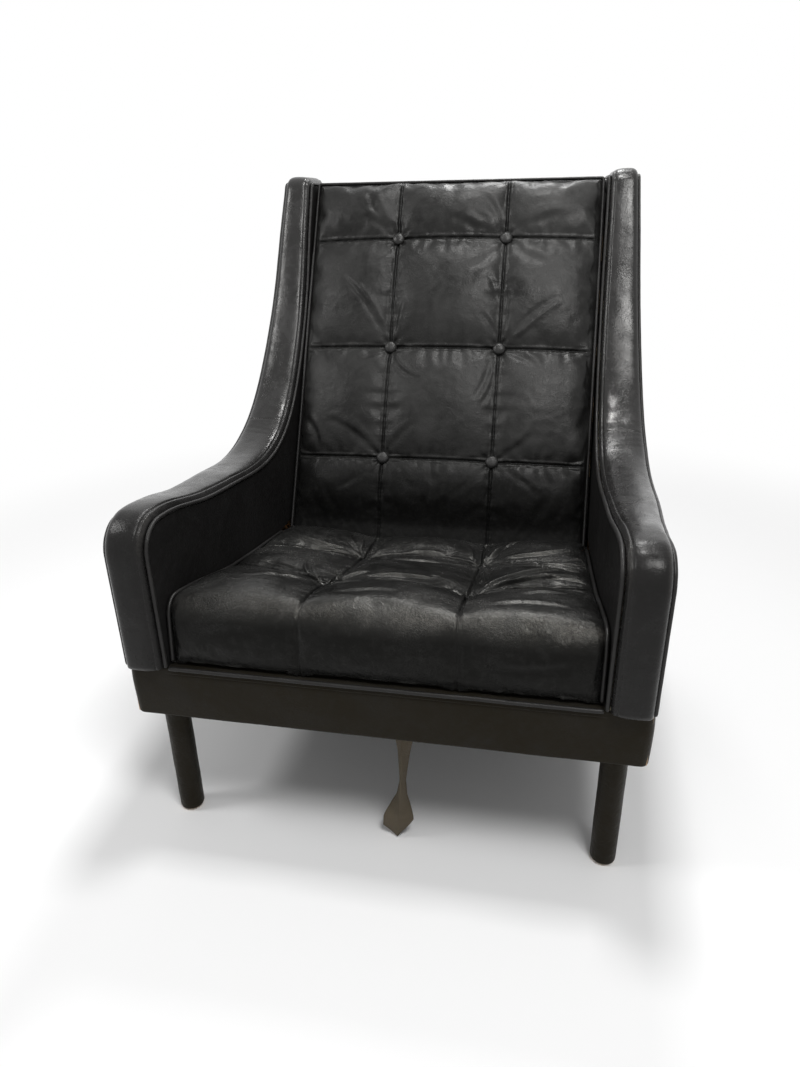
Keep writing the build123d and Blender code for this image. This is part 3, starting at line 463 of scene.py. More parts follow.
class SideLine:
    """The side's top outline, from the foot of the arm's front to the end of the wing's top."""

    def __init__(self):
        arm_start = (MM + ARM_CORNER_RADIUS, ARM_FRONT_HEIGHT)
        edge = np.linspace((MM, BASE_TOP), (MM, ARM_FRONT_HEIGHT - ARM_CORNER_RADIUS), 40)
        corner = corner_arc((arm_start[0], ARM_FRONT_HEIGHT - ARM_CORNER_RADIUS), ARM_CORNER_RADIUS, 180, -90)
        curve = clamped_spline([arm_start, *ARM_LINE, *WING_LINE], (1, 0), WING_END_RUN)
        turn = math.degrees(math.atan2(WING_END_RUN[1], WING_END_RUN[0]))
        along = np.array(WING_END_RUN) / np.linalg.norm(WING_END_RUN)
        centre = np.array(WING_LINE[-1]) + WING_CORNER_RADIUS * np.array((along[1], -along[0]))
        wing = corner_arc(centre, WING_CORNER_RADIUS, 90 + turn, -turn, 8)
        top = np.linspace(wing[-1], (TOP_EDGE_END, wing[-1][1]), 20)
        line = np.vstack([edge, corner[1:], curve[1:], wing[1:], top[1:]])
        self.line = line
        self.dist = np.concatenate([[0], np.cumsum(np.linalg.norm(np.diff(line, axis=0), axis=1))])
        travel = np.gradient(line, self.dist, axis=0)
        self.travel = travel / np.linalg.norm(travel, axis=1)[:, None]
        self.length = self.dist[-1]
        self.top = wing[-1][1]

    def at(self, dist):
        depth, height, run, rise = (float(np.interp(dist, self.dist, values)) for values in
                                    (self.line[:, 0], self.line[:, 1], self.travel[:, 0], self.travel[:, 1]))
        size = math.hypot(run, rise)
        return depth, height, -rise / size, run / size

    def where(self, depth):
        """Distance along the line where the arm or wing reaches a depth."""
        return float(np.interp(depth, self.line[:, 0], self.dist))


side_line = SideLine()


def outer_face(depth, height):
    """How far from the middle the side's outer face lies, with its swell."""
    reach = min(max((depth - SWELL_START) / (SWELL_FULL - SWELL_START), 0.0), 1.0)
    if height < SWELL_HEIGHT:
        lift = math.sin(math.pi / 2 * max(height - BASE_TOP, 0.0) / (SWELL_HEIGHT - BASE_TOP))
    else:
        lift = 1 - SWELL_LEAN * (height - SWELL_HEIGHT) / (WING_HEIGHT - SWELL_HEIGHT)
    return BASE_HALF + SWELL * math.sin(math.pi / 2 * reach) * lift


def side_spot(side, across, dist, lift):
    depth, height, out_depth, out_height = side_line.at(dist)
    return Vector((side * across, FRONT + depth + out_depth * lift, height + out_height * lift))


def deck_spot(across, along, up):
    """A place over the seat's deck: across, back along it and square up from it."""
    turn, rise = math.cos(DECK_ANGLE), math.sin(DECK_ANGLE)
    return Vector((across, FRONT + DECK_START + along * turn + up * rise,
                   BASE_TOP - along * rise + up * turn))


def back_spot(across, up, out):
    """A place on the back's slope: across, up it and square out from it."""
    turn, rise = math.cos(BACK_RAKE), math.sin(BACK_RAKE)
    return Vector((across, FRONT + BACK_FOOT + up * rise - out * turn,
                   BACK_FOOT_HEIGHT + up * turn + out * rise))


def wobble(spot, scale, seed=0.0):
    """Smooth noise from -1 to 1 at a place; each seed gives another pattern."""
    return noise.noise(Vector(spot) * scale + Vector((seed, 3.1 * seed, 7.7 * seed)))


def bell(distance, width):
    """1 at no distance, fading to nothing past the width."""
    return math.exp(-(distance / width) ** 2)


def piping(name, stations, frame_at, radius, body, around=12, closed=False, wear=0.05):
    """A round section carried along stations; frame_at gives centre and two square directions."""
    def shape(column, row):
        if closed and column == len(stations) - 1:
            column = 0
        centre, first, second = frame_at(stations[column])
        angle = 2 * math.pi * (row % around) / around
        swell = radius * (1 + 0.07 * wobble(centre, 90.0, 2.0))
        wear_and_sheen = wear * (0.5 + 0.9 * wobble(centre, 22.0, 5.0) + 0.4 * math.sin(angle))
        return centre + (first * math.cos(angle) + second * math.sin(angle)) * swell, max(0.0, wear_and_sheen)
    bm = bent_grid(len(stations) - 1, around, shape, True, not closed)
    made = piece(name, bm, "piping", body)
    smoother(made)
    return made


# ---- Cushions ----

# Mesh spacing away from the seams and beside them, and how far "beside" reaches
CUSHION_GRID = (9 * MM, 3 * MM, 11 * MM)
SEAT_GRID = (9 * MM, 4.5 * MM, 18 * MM)
# Where the seat's side outline has close steps, and the widths of the rings in a cushion's end
SEAT_FINE_AT = (0.128, 0.160, 0.192, 0.335, 0.37, 0.393)
END_RINGS = (4 * MM, 9 * MM)
END_RING_DROP = 0.7 * MM
# The margin along a cushion's edges that stays as drawn, and the steps along its hidden face
CUSHION_MARGIN = 9 * MM
HIDDEN_STEPS = 30
AIR_PRESSURE = 2.5
AIR_FRAMES = 14


def cushion_form(lines, outline, spot_at, lift_at):
    """A closed cushion: its side outline carried across the lines, each point lifted square to it."""
    rows = len(outline)
    bm = bmesh.new()
    layers = {key: bm.verts.layers.float.new(key) for key in ("across", "stretch", "front", "held")}
    bmesh.ops.create_grid(bm, x_segments=len(lines) - 1, y_segments=rows, size=0.5)
    for vert in bm.verts:
        across = lines[round((vert.co.x + 0.5) * (len(lines) - 1))]
        along, up, out_along, out_up, stretch, front = outline[round((vert.co.y + 0.5) * rows) % rows]
        lift, held = lift_at(across, stretch, front)
        vert.co = spot_at(across, along + out_along * lift, up + out_up * lift)
        for key, value in (("across", across), ("stretch", stretch), ("front", front), ("held", held)):
            vert[layers[key]] = value
    bmesh.ops.remove_doubles(bm, verts=bm.verts, dist=1e-6)
    ends = bmesh.ops.holes_fill(bm, edges=[edge for edge in bm.edges if edge.is_boundary], sides=0)["faces"]
    bmesh.ops.recalc_face_normals(bm, faces=bm.faces)
    for thickness in END_RINGS:
        bmesh.ops.inset_region(bm, faces=ends, thickness=thickness, depth=-END_RING_DROP,
                               use_even_offset=False)
    bmesh.ops.triangulate(bm, faces=ends)
    return bm


def points_of(mesh, kind="co"):
    values = np.empty(len(mesh.vertices) * 3, np.float32)
    mesh.vertices.foreach_get(kind, values)
    return values.reshape(-1, 3).astype(float)


def values_of(mesh, name):
    values = np.empty(len(mesh.vertices), np.float32)
    mesh.attributes[name].data.foreach_get("value", values)
    return values.astype(float)


def paint(mesh, name, values):
    """Writes a value for each vertex, for the materials to read."""
    mesh.attributes.new(name, "FLOAT", "POINT").data.foreach_set("value", values.astype(np.float32))


def move_points(mesh, points):
    mesh.vertices.foreach_set("co", points.astype(np.float32).ravel())
    mesh.update()


def fill_with_air(made, growth, most):
    """Cloth under light pressure, held at its seams, so that the leather fills and creases by itself."""
    mesh = made.data
    start, held = points_of(mesh), values_of(mesh, "held")
    group = made.vertex_groups.new(name="held")
    for index, share in enumerate(held):
        group.add([index], float(min(share, 1.0)), "REPLACE")
    cloth = made.modifiers.new("filling", "CLOTH")
    cloth.point_cache.frame_start, cloth.point_cache.frame_end = 1, AIR_FRAMES
    setup = cloth.settings
    setup.quality = 5
    setup.mass = 0.3
    setup.tension_stiffness = setup.compression_stiffness = 25.0
    setup.shear_stiffness = 12.0
    setup.bending_stiffness = 0.6
    setup.air_damping = 4.0
    setup.use_pressure = True
    setup.uniform_pressure_force = AIR_PRESSURE
    setup.shrink_min = -growth
    setup.vertex_group_mass = "held"
    setup.effector_weights.gravity = 0.0
    scene = bpy.context.scene
    for step in range(1, AIR_FRAMES + 1):
        scene.frame_set(step)
    filled = made.evaluated_get(bpy.context.evaluated_depsgraph_get())
    moved = points_of(filled.data) - start
    scene.frame_set(1)
    made.modifiers.remove(cloth)
    made.vertex_groups.remove(group)
    reach = np.linalg.norm(moved, axis=1)
    kept = np.where(reach > 1e-9, most * np.tanh(reach / most) / np.maximum(reach, 1e-9), 0.0)
    move_points(mesh, start + moved * kept[:, None])


def subdivided(made):
    """The object's mesh after two rounds of subdivision, with its vertex values carried along."""
    smoother(made, 2)
    bpy.context.view_layer.update()
    fresh = bpy.data.meshes.new_from_object(made.evaluated_get(bpy.context.evaluated_depsgraph_get()))
    made.modifiers.clear()
    old, name = made.data, made.data.name
    made.data = fresh
    bpy.data.meshes.remove(old)
    fresh.name = name
    return fresh


def seam_relief(distance, depth, lip):
    """Cross-section of a stitched seam: a narrow groove between two raised lips."""
    distance = np.abs(distance)
    groove = np.exp(-(distance / (1.6 * MM)) ** 2)
    return -depth * groove + lip * np.exp(-((distance - 5 * MM) / (2.6 * MM)) ** 2)


def pucker(along, away, pitch, drift, reach):
    """Small gathers along a seam, uneven in their spacing, that fade away from it."""
    return np.sin(along / MM * pitch + np.sin(along / MM * drift) * 2) * np.exp(-away / (reach * MM))


def folds(across, stretch, creases):
    """Soft folds along lines, each a start, an end, a half-width and a depth in millimetres."""
    relief = np.zeros_like(across)
    for x0, y0, x1, y1, bow, width, depth in creases:
        run = np.array([x1 - x0, y1 - y0]) * MM
        length = np.linalg.norm(run)
        run /= length
        dx, dy = across - x0 * MM, stretch - y0 * MM
        share = (dx * run[0] + dy * run[1]) / length
        sideways = dx * -run[1] + dy * run[0] - bow * MM * 4 * share * (1 - share)
        taper = np.sin(np.pi * np.clip(share, 0, 1)) ** 0.6
        spread = width * MM
        relief += taper * depth * MM * (0.75 * np.exp(-((sideways - 1.5 * spread) / spread) ** 2)
                                        - np.exp(-(sideways / spread) ** 2))
    return relief


def tuft_relief(across, stretch, tufts, pull, reach, pleats, pleat_depth):
    """Leather drawn in round each tuft, with pleats that fan out from it."""
    relief = np.zeros_like(across)
    for number, (x, y) in enumerate(tufts):
        dx, dy = across - x, stretch - y
        radius, angle = np.hypot(dx, dy), np.arctan2(dy, dx)
        relief -= pull * np.exp(-radius / reach)
        fan = np.cos(pleats * angle + 1.7 * number) + 0.6 * np.cos((pleats - 3) * angle - 2.3 * number)
        near = np.exp(-((radius - 0.9 * reach) / (0.8 * reach)) ** 2)
        relief += pleat_depth * fan * near
    return relief


def share_between(value, stops):
    """Where a value lies between the two stops round it, from -1 to 1."""
    for low, high in zip(stops[:-1], stops[1:]):
        if value <= high:
            return (2 * value - low - high) / (high - low)
    return 1.0


def field_crown(first, second, fullness):
    """The rise of a padded field: 1 in its middle, 0 along its four seams."""
    return (max(0.0, 1 - first * first) * max(0.0, 1 - second * second)) ** fullness


# Back cushion, in metres up the slope and out from it
BACK_HALF = 0.294
BACK_HEIGHT = 0.763
BACK_BOXING = 0.045
BACK_LEDGE = 0.0384
BACK_RISE = 0.020
BACK_EDGE_OUT = (0.029, 0.019, 0.009)
BACK_FOOT_FIELD = (0.055, 0.05)
PIPING_SEAT = 0.0066
SEAM_ACROSS = 0.108
BUTTON_BED = 14.5 * MM
BUTTON_GRID = (40, 9)
WELT_CORNER = 5 * MM
BACK_WELT_GRID = (8 * MM, 2 * MM, 3 * MM)
BACK_ROWS = (0.1821, 0.4061, 0.6301)
BACK_RISE_SHARES = (
    (0.0, 0.0), (0.07, 0.1), (0.12, 0.7), (0.18, 1.0), (0.2387, 0.85), (0.3, 1.0), (0.385, 1.1),
    (0.47, 1.0), (0.5321, 0.85), (0.6, 1.0), (0.68, 1.1), (0.765, 1.0), (0.8257, 0.85), (0.88, 0.9),
    (0.94, 0.75), (0.975, 0.5), (1.0, 0.2))
BACK_CREASES = (
    (-216, 548, -124, 434, 6, 7.0, 2.7), (-89, 498, -102, 430, -3, 5.0, 1.7),
    (68, 474, 101, 426, 3, 6.0, 1.9), (217, 509, 124, 422, -7, 7.0, 2.4), (77, 553, 99, 500, 2, 6.0, 1.3),
    (-105, 388, -44, 335, -8, 6.0, 2.3), (94, 385, 66, 300, 5, 7.0, 2.4), (104, 375, 78, 284, 6, 6.0, 1.9),
    (124, 400, 186, 366, 4, 7.0, 1.9), (-226, 257, -124, 192, 8, 8.0, 2.2),
    (-288, 262, -240, 196, 14, 7.0, 1.8), (-175, 727, -128, 650, -6, 9.0, 1.6),
    (-203, 681, -124, 640, 5, 8.0, 1.5), (53, 718, 96, 648, 5, 9.0, 1.6), (-7, 673, 88, 640, -5, 8.0, 1.4),
    (126, 642, 254, 676, 8, 11.0, 1.4), (-90, 172, -30, 120, -5, 7.0, 1.2),
    (124, 168, 200, 118, 6, 7.0, 1.3), (-128, 168, -205, 112, 6, 7.0, 1.3), (90, 170, 30, 110, 5, 7.0, 1.2),
    (126, 418, 176, 452, -3, 6.0, 1.4), (-128, 396, -190, 350, -6, 7.0, 1.6),
    (126, 196, 190, 246, -5, 8.0, 1.4), (-92, 200, -40, 252, 5, 7.0, 1.3),
    (-96, 612, -50, 560, -8, 10.0, 1.8), (92, 612, 40, 560, 8, 10.0, 1.8),
    (-122, 612, -190, 570, 8, 10.0, 1.5), (124, 612, 200, 575, -8, 10.0, 1.6),
    (-116, 520, -121, 430, 2, 6.0, 1.6), (122, 520, 118, 430, -2, 6.0, 1.6))


def back_outline():
    stretch = graded(0.0, BACK_HEIGHT, (PIPING_SEAT, *BACK_ROWS, BACK_HEIGHT - PIPING_SEAT), *CUSHION_GRID)
    outline = [(up, BACK_LEDGE, 0.0, 1.0, up, 1.0) for up in stretch]
    outline += [(BACK_HEIGHT, out, 1.0, 0.0, BACK_HEIGHT, 0.0) for out in BACK_EDGE_OUT]
    hidden = np.linspace(BACK_HEIGHT, 0.0, HIDDEN_STEPS)
    outline += [(float(up), 0.0, 0.0, -1.0, float(up), 0.0) for up in hidden]
    outline += [(0.0, out, -1.0, 0.0, 0.0, 0.0) for out in reversed(BACK_EDGE_OUT)]
    return outline


def back_lift(across, stretch, front):
    edge = min(BACK_HALF - abs(across), stretch, BACK_HEIGHT - stretch)
    if front < 0.5:
        return -0.0012 * bell(BACK_HALF - abs(across), 3 * MM), 1.0
    side_share = min(1.0, max(0.0, (BACK_HALF - abs(across)) / (BACK_HALF - SEAM_ACROSS)))
    rise = BACK_BOXING + BACK_RISE * side_share ** 0.8 * float(
        np.interp(stretch / BACK_HEIGHT, *zip(*BACK_RISE_SHARES)))
    over = share_between(across, (-BACK_HALF, -SEAM_ACROSS, SEAM_ACROSS, BACK_HALF))
    upward = share_between(stretch, (0.0, *BACK_ROWS, BACK_HEIGHT))
    low_fade = min(1.0, max(0.0, (stretch - BACK_FOOT_FIELD[0]) / BACK_FOOT_FIELD[1]))
    rise += (sizes().back_crown * field_crown(over, upward, 0.95) + 4 * MM) * low_fade
    shoulder = min(1.0, max(0.0, (edge - PIPING_SEAT) / (15 * MM)))
    lift = (rise - BACK_LEDGE) * math.sqrt(max(0.0, 1 - (1 - shoulder) ** 2))
    seam = min(abs(abs(across) - SEAM_ACROSS), min(abs(stretch - row) for row in BACK_ROWS))
    button = min(math.hypot(abs(across) - SEAM_ACROSS, stretch - row) for row in BACK_ROWS)
    lift -= 1.3 * MM * bell(seam, 5 * MM) * shoulder
    lift -= 9.0 * MM * math.exp(-button / (24 * MM))
    held = max(1.0 if edge < CUSHION_MARGIN else 0.0, 0.96 * bell(seam, 3.5 * MM), bell(button, 16 * MM))
    if stretch < 0.07:
        held = max(held, 0.9)
    return lift, held


def back_details(mesh):
    points, normals = points_of(mesh), points_of(mesh, "normal")
    across, stretch, front = (values_of(mesh, key) for key in ("across", "stretch", "front"))
    column = np.abs(np.abs(across) - SEAM_ACROSS)
    row = np.min([np.abs(stretch - level) for level in BACK_ROWS], axis=0)
    edge = np.minimum(BACK_HALF - np.abs(across), np.minimum(stretch, BACK_HEIGHT - stretch))
    inside = np.clip((edge - CUSHION_MARGIN) / (14 * MM), 0, 1) * np.clip(front, 0, 1)
    depth = sizes().seam_depth
    relief = seam_relief(column, 0.8 * depth, 1.4 * MM) + seam_relief(row, 0.8 * depth, 1.2 * MM)
    relief += 0.32 * MM * (pucker(stretch, column, 0.62, 0.11, 8) + pucker(across, row, 0.58, 0.13, 7))
    buttons = [(x, y) for x in (-SEAM_ACROSS, SEAM_ACROSS) for y in BACK_ROWS]
    relief += tuft_relief(across, stretch, buttons, 1.2 * MM, 20 * MM, 9, 0.75 * MM)
    relief += folds(across, stretch, BACK_CREASES)
    relief += np.array([0.9 * MM * wobble(p, 21.0, 1.0) + 0.35 * MM * wobble(p, 70.0, 4.0) for p in points])
    move_points(mesh, points + normals * (relief * inside)[:, None])
    # Painted shade and light: below the lowest row of buttons, where the seat shades the cushion, the haze
    # and reflections fade out, and the right side gets more of them than the left
    paint(mesh, "wear_and_sheen", np.clip((stretch - 0.150) / 0.04, 0, 1) * (0.84 + 0.2 * across / BACK_HALF))


# Seat cushion, in metres back along the deck and up from it
SEAT_HALF = 0.2965
SEAT_FRONT = -0.0235
SEAT_RADIUS = 0.026
SEAT_TOP_START = SEAT_FRONT + SEAT_RADIUS
SEAT_HEIGHT = 0.100
SEAT_FOOT_DROP = SEAT_HEIGHT - SEAT_RADIUS + SEAT_RADIUS * math.pi / 2 - SEAT_TOP_START
SEAT_TOP_LINE = (
    (SEAT_TOP_START, 0.100), (0.085, 0.0903), (0.1285, 0.0828), (0.18, 0.0745), (0.245, 0.0688),
    (0.31, 0.0644), (0.37, 0.0617), (0.45, 0.0573), (0.489, 0.0561))
SEAT_SAG = (
    (-0.11, 0.0), (0.0, 0.0), (0.085, 0.06), (0.1285, 0.12), (0.18, 0.3), (0.245, 0.6), (0.31, 0.9),
    (0.37, 1.1), (0.45, 0.95), (0.489, 0.8))
SEAT_SAG_DEPTH = 0.019
SEAT_SEAM = 0.107
SEAT_EDGE_SEAM = -0.018
SEAT_LAST_SEAM = 0.51
SEAT_FRONT_CROWN = 0.3
SEAT_TOP_FROM, SEAT_TOP_RUN = -0.02, 0.06
SEAT_WELT_END = 0.4525
SEAT_WELT_LOWEST = 3.8 * MM
SEAT_TUFTS = ((-0.107, 0.128), (0.107, 0.124), (-0.104, 0.370), (0.105, 0.366))
FRONT_ROW = (
    (-0.2965, 0.205), (-0.230, 0.192), (-0.175, 0.170), (-0.107, 0.128), (-0.05, 0.155), (0.0, 0.165),
    (0.05, 0.152), (0.107, 0.124), (0.175, 0.165), (0.230, 0.186), (0.2965, 0.198))
REAR_ROW = (
    (-0.2965, 0.325), (-0.223, 0.345), (-0.145, 0.352), (-0.104, 0.370), (-0.05, 0.388), (0.0, 0.393),
    (0.05, 0.388), (0.105, 0.366), (0.145, 0.350), (0.223, 0.343), (0.2965, 0.325))
SEAT_REAR_TOP = 0.4888
SEAT_REAR_FOOT = 0.4668
SEAT_CREASES = (
    (112, 128, 288, 232, 26, 3.4, 3.4), (114, 122, 290, 190, 20, 3.4, 3.0),
    (112, 136, 282, 268, 30, 3.2, 2.8), (112, 362, 288, 292, -20, 3.4, 3.0),
    (112, 350, 284, 262, -24, 3.2, 2.6), (-112, 134, -60, 205, 10, 3.6, 3.0),
    (-114, 140, -168, 232, 12, 3.4, 2.8), (-112, 130, -250, 215, -16, 3.4, 2.8),
    (-108, 362, -200, 306, 12, 3.4, 3.0), (-106, 380, -150, 452, 8, 3.6, 3.2),
    (106, 378, 150, 450, -8, 3.6, 3.0), (-98, 360, -40, 300, -10, 3.6, 2.8),
    (98, 358, 44, 300, 10, 3.6, 2.8), (98, 132, 40, 206, -10, 3.6, 3.0), (-98, 126, -44, 92, 6, 3.6, 1.6),
    (98, 122, 52, 88, -6, 3.6, 1.6), (114, 116, 176, 80, 7, 3.6, 1.8), (-114, 120, -176, 84, -7, 3.6, 1.6),
    (-40, 388, 40, 392, 6, 4.5, 2.2), (-200, 60, -130, 96, 6, 5.0, 1.2), (180, 62, 250, 88, 8, 4.5, 1.4),
    (-70, 22, 20, 34, 8, 6.0, 0.9), (140, 20, 250, 30, 6, 6.0, 1.0), (-250, -60, -160, -52, 5, 8.0, 1.0),
    (20, -64, 90, -50, 6, 8.0, 0.9), (150, -70, 260, -58, -6, 8.0, 1.1), (-94, 150, -92, 345, 9, 4.0, 2.6),
    (118, 150, 118, 345, -9, 4.0, 2.6), (-150, 372, -280, 402, 10, 4.0, 2.2),
    (150, 372, 280, 402, -10, 4.0, 2.2), (-60, 176, 50, 184, 10, 4.0, 2.0),
    (-60, 300, 60, 306, -16, 4.5, 1.8), (180, 150, 286, 160, 8, 3.6, 2.0),
    (200, 215, 290, 214, 5, 3.2, 2.0), (190, 300, 290, 330, 6, 3.2, 2.0),
    (-190, 262, -286, 272, 6, 4.0, 1.6), (-118, 390, -135, 470, -6, 3.4, 3.0),
    (-94, 386, -78, 470, 6, 3.6, 2.6), (95, 386, 70, 470, -6, 3.6, 2.4), (124, 380, 180, 462, 8, 3.4, 2.4),
    (-130, 366, -240, 330, -8, 3.4, 2.4), (86, 364, 20, 350, 8, 3.8, 2.2))


def seat_outline():
    """The side view: up the front, over its edge, back along the top, down the rear and under."""
    top = clamped_spline(SEAT_TOP_LINE, (1, -0.06), (1, -0.02))
    foot = SEAT_RADIUS * math.pi / 2
    start = SEAT_TOP_START - foot - (SEAT_HEIGHT - SEAT_RADIUS)
    outline = []
    for stretch in graded(start, SEAT_REAR_TOP, SEAT_FINE_AT, *SEAT_GRID):
        if stretch < SEAT_TOP_START - foot:
            along, up, out = SEAT_FRONT, stretch - start + 0.5 * MM, (-1.0, 0.0)
        elif stretch < SEAT_TOP_START:
            angle = (stretch - SEAT_TOP_START + foot) / SEAT_RADIUS
            along = SEAT_FRONT + SEAT_RADIUS * (1 - math.cos(angle))
            up, out = SEAT_HEIGHT - SEAT_RADIUS * (1 - math.sin(angle)), (-math.cos(angle), math.sin(angle))
        else:
            along, up = stretch, float(np.interp(stretch, top[:, 0], top[:, 1]))
            slope = float(np.interp(stretch, top[:-1, 0], np.diff(top[:, 1]) / np.diff(top[:, 0])))
            out = (-slope, 1.0)
        outline.append((along, up, *out, stretch, 1.0))
    for share in (0.25, 0.5, 0.75):
        outline.append((SEAT_REAR_TOP + (SEAT_REAR_FOOT - SEAT_REAR_TOP) * share, 0.056 * (1 - share),
                        0.93, -0.37, SEAT_REAR_TOP, 0.0))
    for along in np.linspace(SEAT_REAR_FOOT, SEAT_FRONT + 4 * MM, HIDDEN_STEPS):
        outline.append((float(along), 0.5 * MM, 0.0, -1.0, SEAT_REAR_TOP, 0.0))
    return outline


def seat_lift(across, stretch, front):
    edge = SEAT_HALF - abs(across)
    if front < 0.5:
        return -0.5 * MM * bell(edge, 4 * MM), 1.0
    side_share = min(1.0, max(0.0, edge / (SEAT_HALF - SEAT_SEAM)))
    lift = -SEAT_SAG_DEPTH * side_share * float(np.interp(stretch, *zip(*SEAT_SAG)))
    front_row, rear_row = (float(np.interp(across, *zip(*row))) for row in (FRONT_ROW, REAR_ROW))
    over = share_between(across, (-SEAT_HALF, -SEAT_SEAM, SEAT_SEAM, SEAT_HALF))
    back = share_between(stretch, (-SEAT_FOOT_DROP, SEAT_EDGE_SEAM, front_row, rear_row, SEAT_LAST_SEAM))
    on_top = min(1.0, max(0.0, (stretch - SEAT_TOP_FROM) / SEAT_TOP_RUN))
    crown = sizes().seat_crown * (SEAT_FRONT_CROWN if stretch < SEAT_EDGE_SEAM else 1.0)
    shoulder = min(1.0, max(0.0, (edge - PIPING_SEAT) / (14 * MM)))
    roundness = math.sqrt(max(0.0, 1 - (1 - shoulder) ** 2))
    lift = (lift + crown * field_crown(over, back, 0.9) + 5 * MM) * roundness
    lift += -6 * MM * (1 - roundness) - 5 * MM * roundness
    seam = min(abs(abs(across) - SEAT_SEAM), abs(stretch - front_row), abs(stretch - rear_row))
    tuft = min(math.hypot(across - x, stretch - y) for x, y in SEAT_TUFTS)
    lift -= 2.0 * MM * bell(seam, 6 * MM) * shoulder * (0.15 + 0.85 * on_top)
    lift -= 9.5 * MM * math.exp(-tuft / (21 * MM))
    row_ends = max(bell(stretch - front_row, 9 * MM), bell(stretch - rear_row, 9 * MM))
    lift -= 3 * MM * bell(edge - 10 * MM, 14 * MM) * row_ends
    ends = min(stretch + SEAT_FOOT_DROP, SEAT_REAR_TOP - stretch)
    lift -= 4 * MM * bell(ends, 9 * MM)
    held = max(1.0 if min(edge, ends) < CUSHION_MARGIN else 0.0,
               0.95 * bell(seam, 4 * MM), bell(tuft, 12 * MM))
    return lift, held


def seat_details(mesh):
    points, normals = points_of(mesh), points_of(mesh, "normal")
    across, stretch, front = (values_of(mesh, key) for key in ("across", "stretch", "front"))
    column = np.abs(np.abs(across) - SEAT_SEAM)
    rows = [np.abs(stretch - np.interp(across, *zip(*row))) for row in (FRONT_ROW, REAR_ROW)]
    row = np.minimum(*rows)
    edge = SEAT_HALF - np.abs(across)
    inside = np.clip((edge - CUSHION_MARGIN) / (12 * MM), 0, 1) * np.clip(front, 0, 1)
    depth = sizes().seam_depth
    on_top = np.clip((stretch - SEAT_TOP_FROM) / SEAT_TOP_RUN, 0, 1)
    tuft = np.min([np.hypot(across - x, stretch - y) for x, y in SEAT_TUFTS], axis=0)
    pinched = on_top * (0.35 + np.exp(-tuft / (45 * MM)))
    thin = 0.45 + 0.55 * on_top
    relief = (seam_relief(column, depth, 0.5 * MM) + seam_relief(row, 1.2 * depth, 0.5 * MM)) * thin
    for seam in (column, row):
        relief += 3.2 * MM * pinched * np.exp(-((seam - 5.4 * MM) / (2.8 * MM)) ** 2)
    gathers = pucker(stretch, column, 0.5, 0.09, 11) + pucker(across, row, 0.48, 0.12, 10)
    relief += 0.5 * MM * gathers * on_top
    relief += tuft_relief(across, stretch, SEAT_TUFTS, 1.5 * MM, 22 * MM, 8, 1.9 * MM)
    relief += 1.6 * folds(across, stretch, SEAT_CREASES)
    relief += np.array([1.5 * MM * wobble(p, 15.0, 6.0) + 0.3 * MM * wobble(p, 45.0, 8.0)
                        + 0.45 * MM * top * wobble((p[0] * 10, s * 70, 0.0), 1.0, 14.0)
                        for p, s, top in zip(points, stretch, on_top)])
    move_points(mesh, points + normals * (relief * inside)[:, None])
    patchy = np.array([0.65 + 0.9 * wobble(p, 34.0, 9.0) for p in points])
    ridge = np.exp(-((stretch + 0.014) / 0.013) ** 2) * patchy
    worn = np.clip(ridge * 0.75 * (0.65 + 0.35 * np.clip(across / 0.2, -1, 1)), 0, 1)
    paint(mesh, "wear", worn * np.clip(front, 0, 1))
    # Painted shade: the front face loses its haze and most of its reflection, fading up over the front edge;
    # the top keeps them as painted sheen
    paint(mesh, "wear_and_sheen", np.clip((stretch + 0.045) / 0.04, 0, 1))


def cushion(name, half, seam, outline, spot_at, lift_at, details, finish, body, growth, most, nodes):
    """A loose cushion: its form, filled with air by at most the given swell, then its stitched details."""
    lines = graded(-half, half, (-half + PIPING_SEAT, -seam, seam, half - PIPING_SEAT), *CUSHION_GRID)
    made = piece(name, cushion_form(lines, outline, spot_at, lift_at), finish, body)
    fill_with_air(made, growth, most)
    mesh = subdivided(made)
    details(mesh)
    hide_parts(*nodes)
    return made


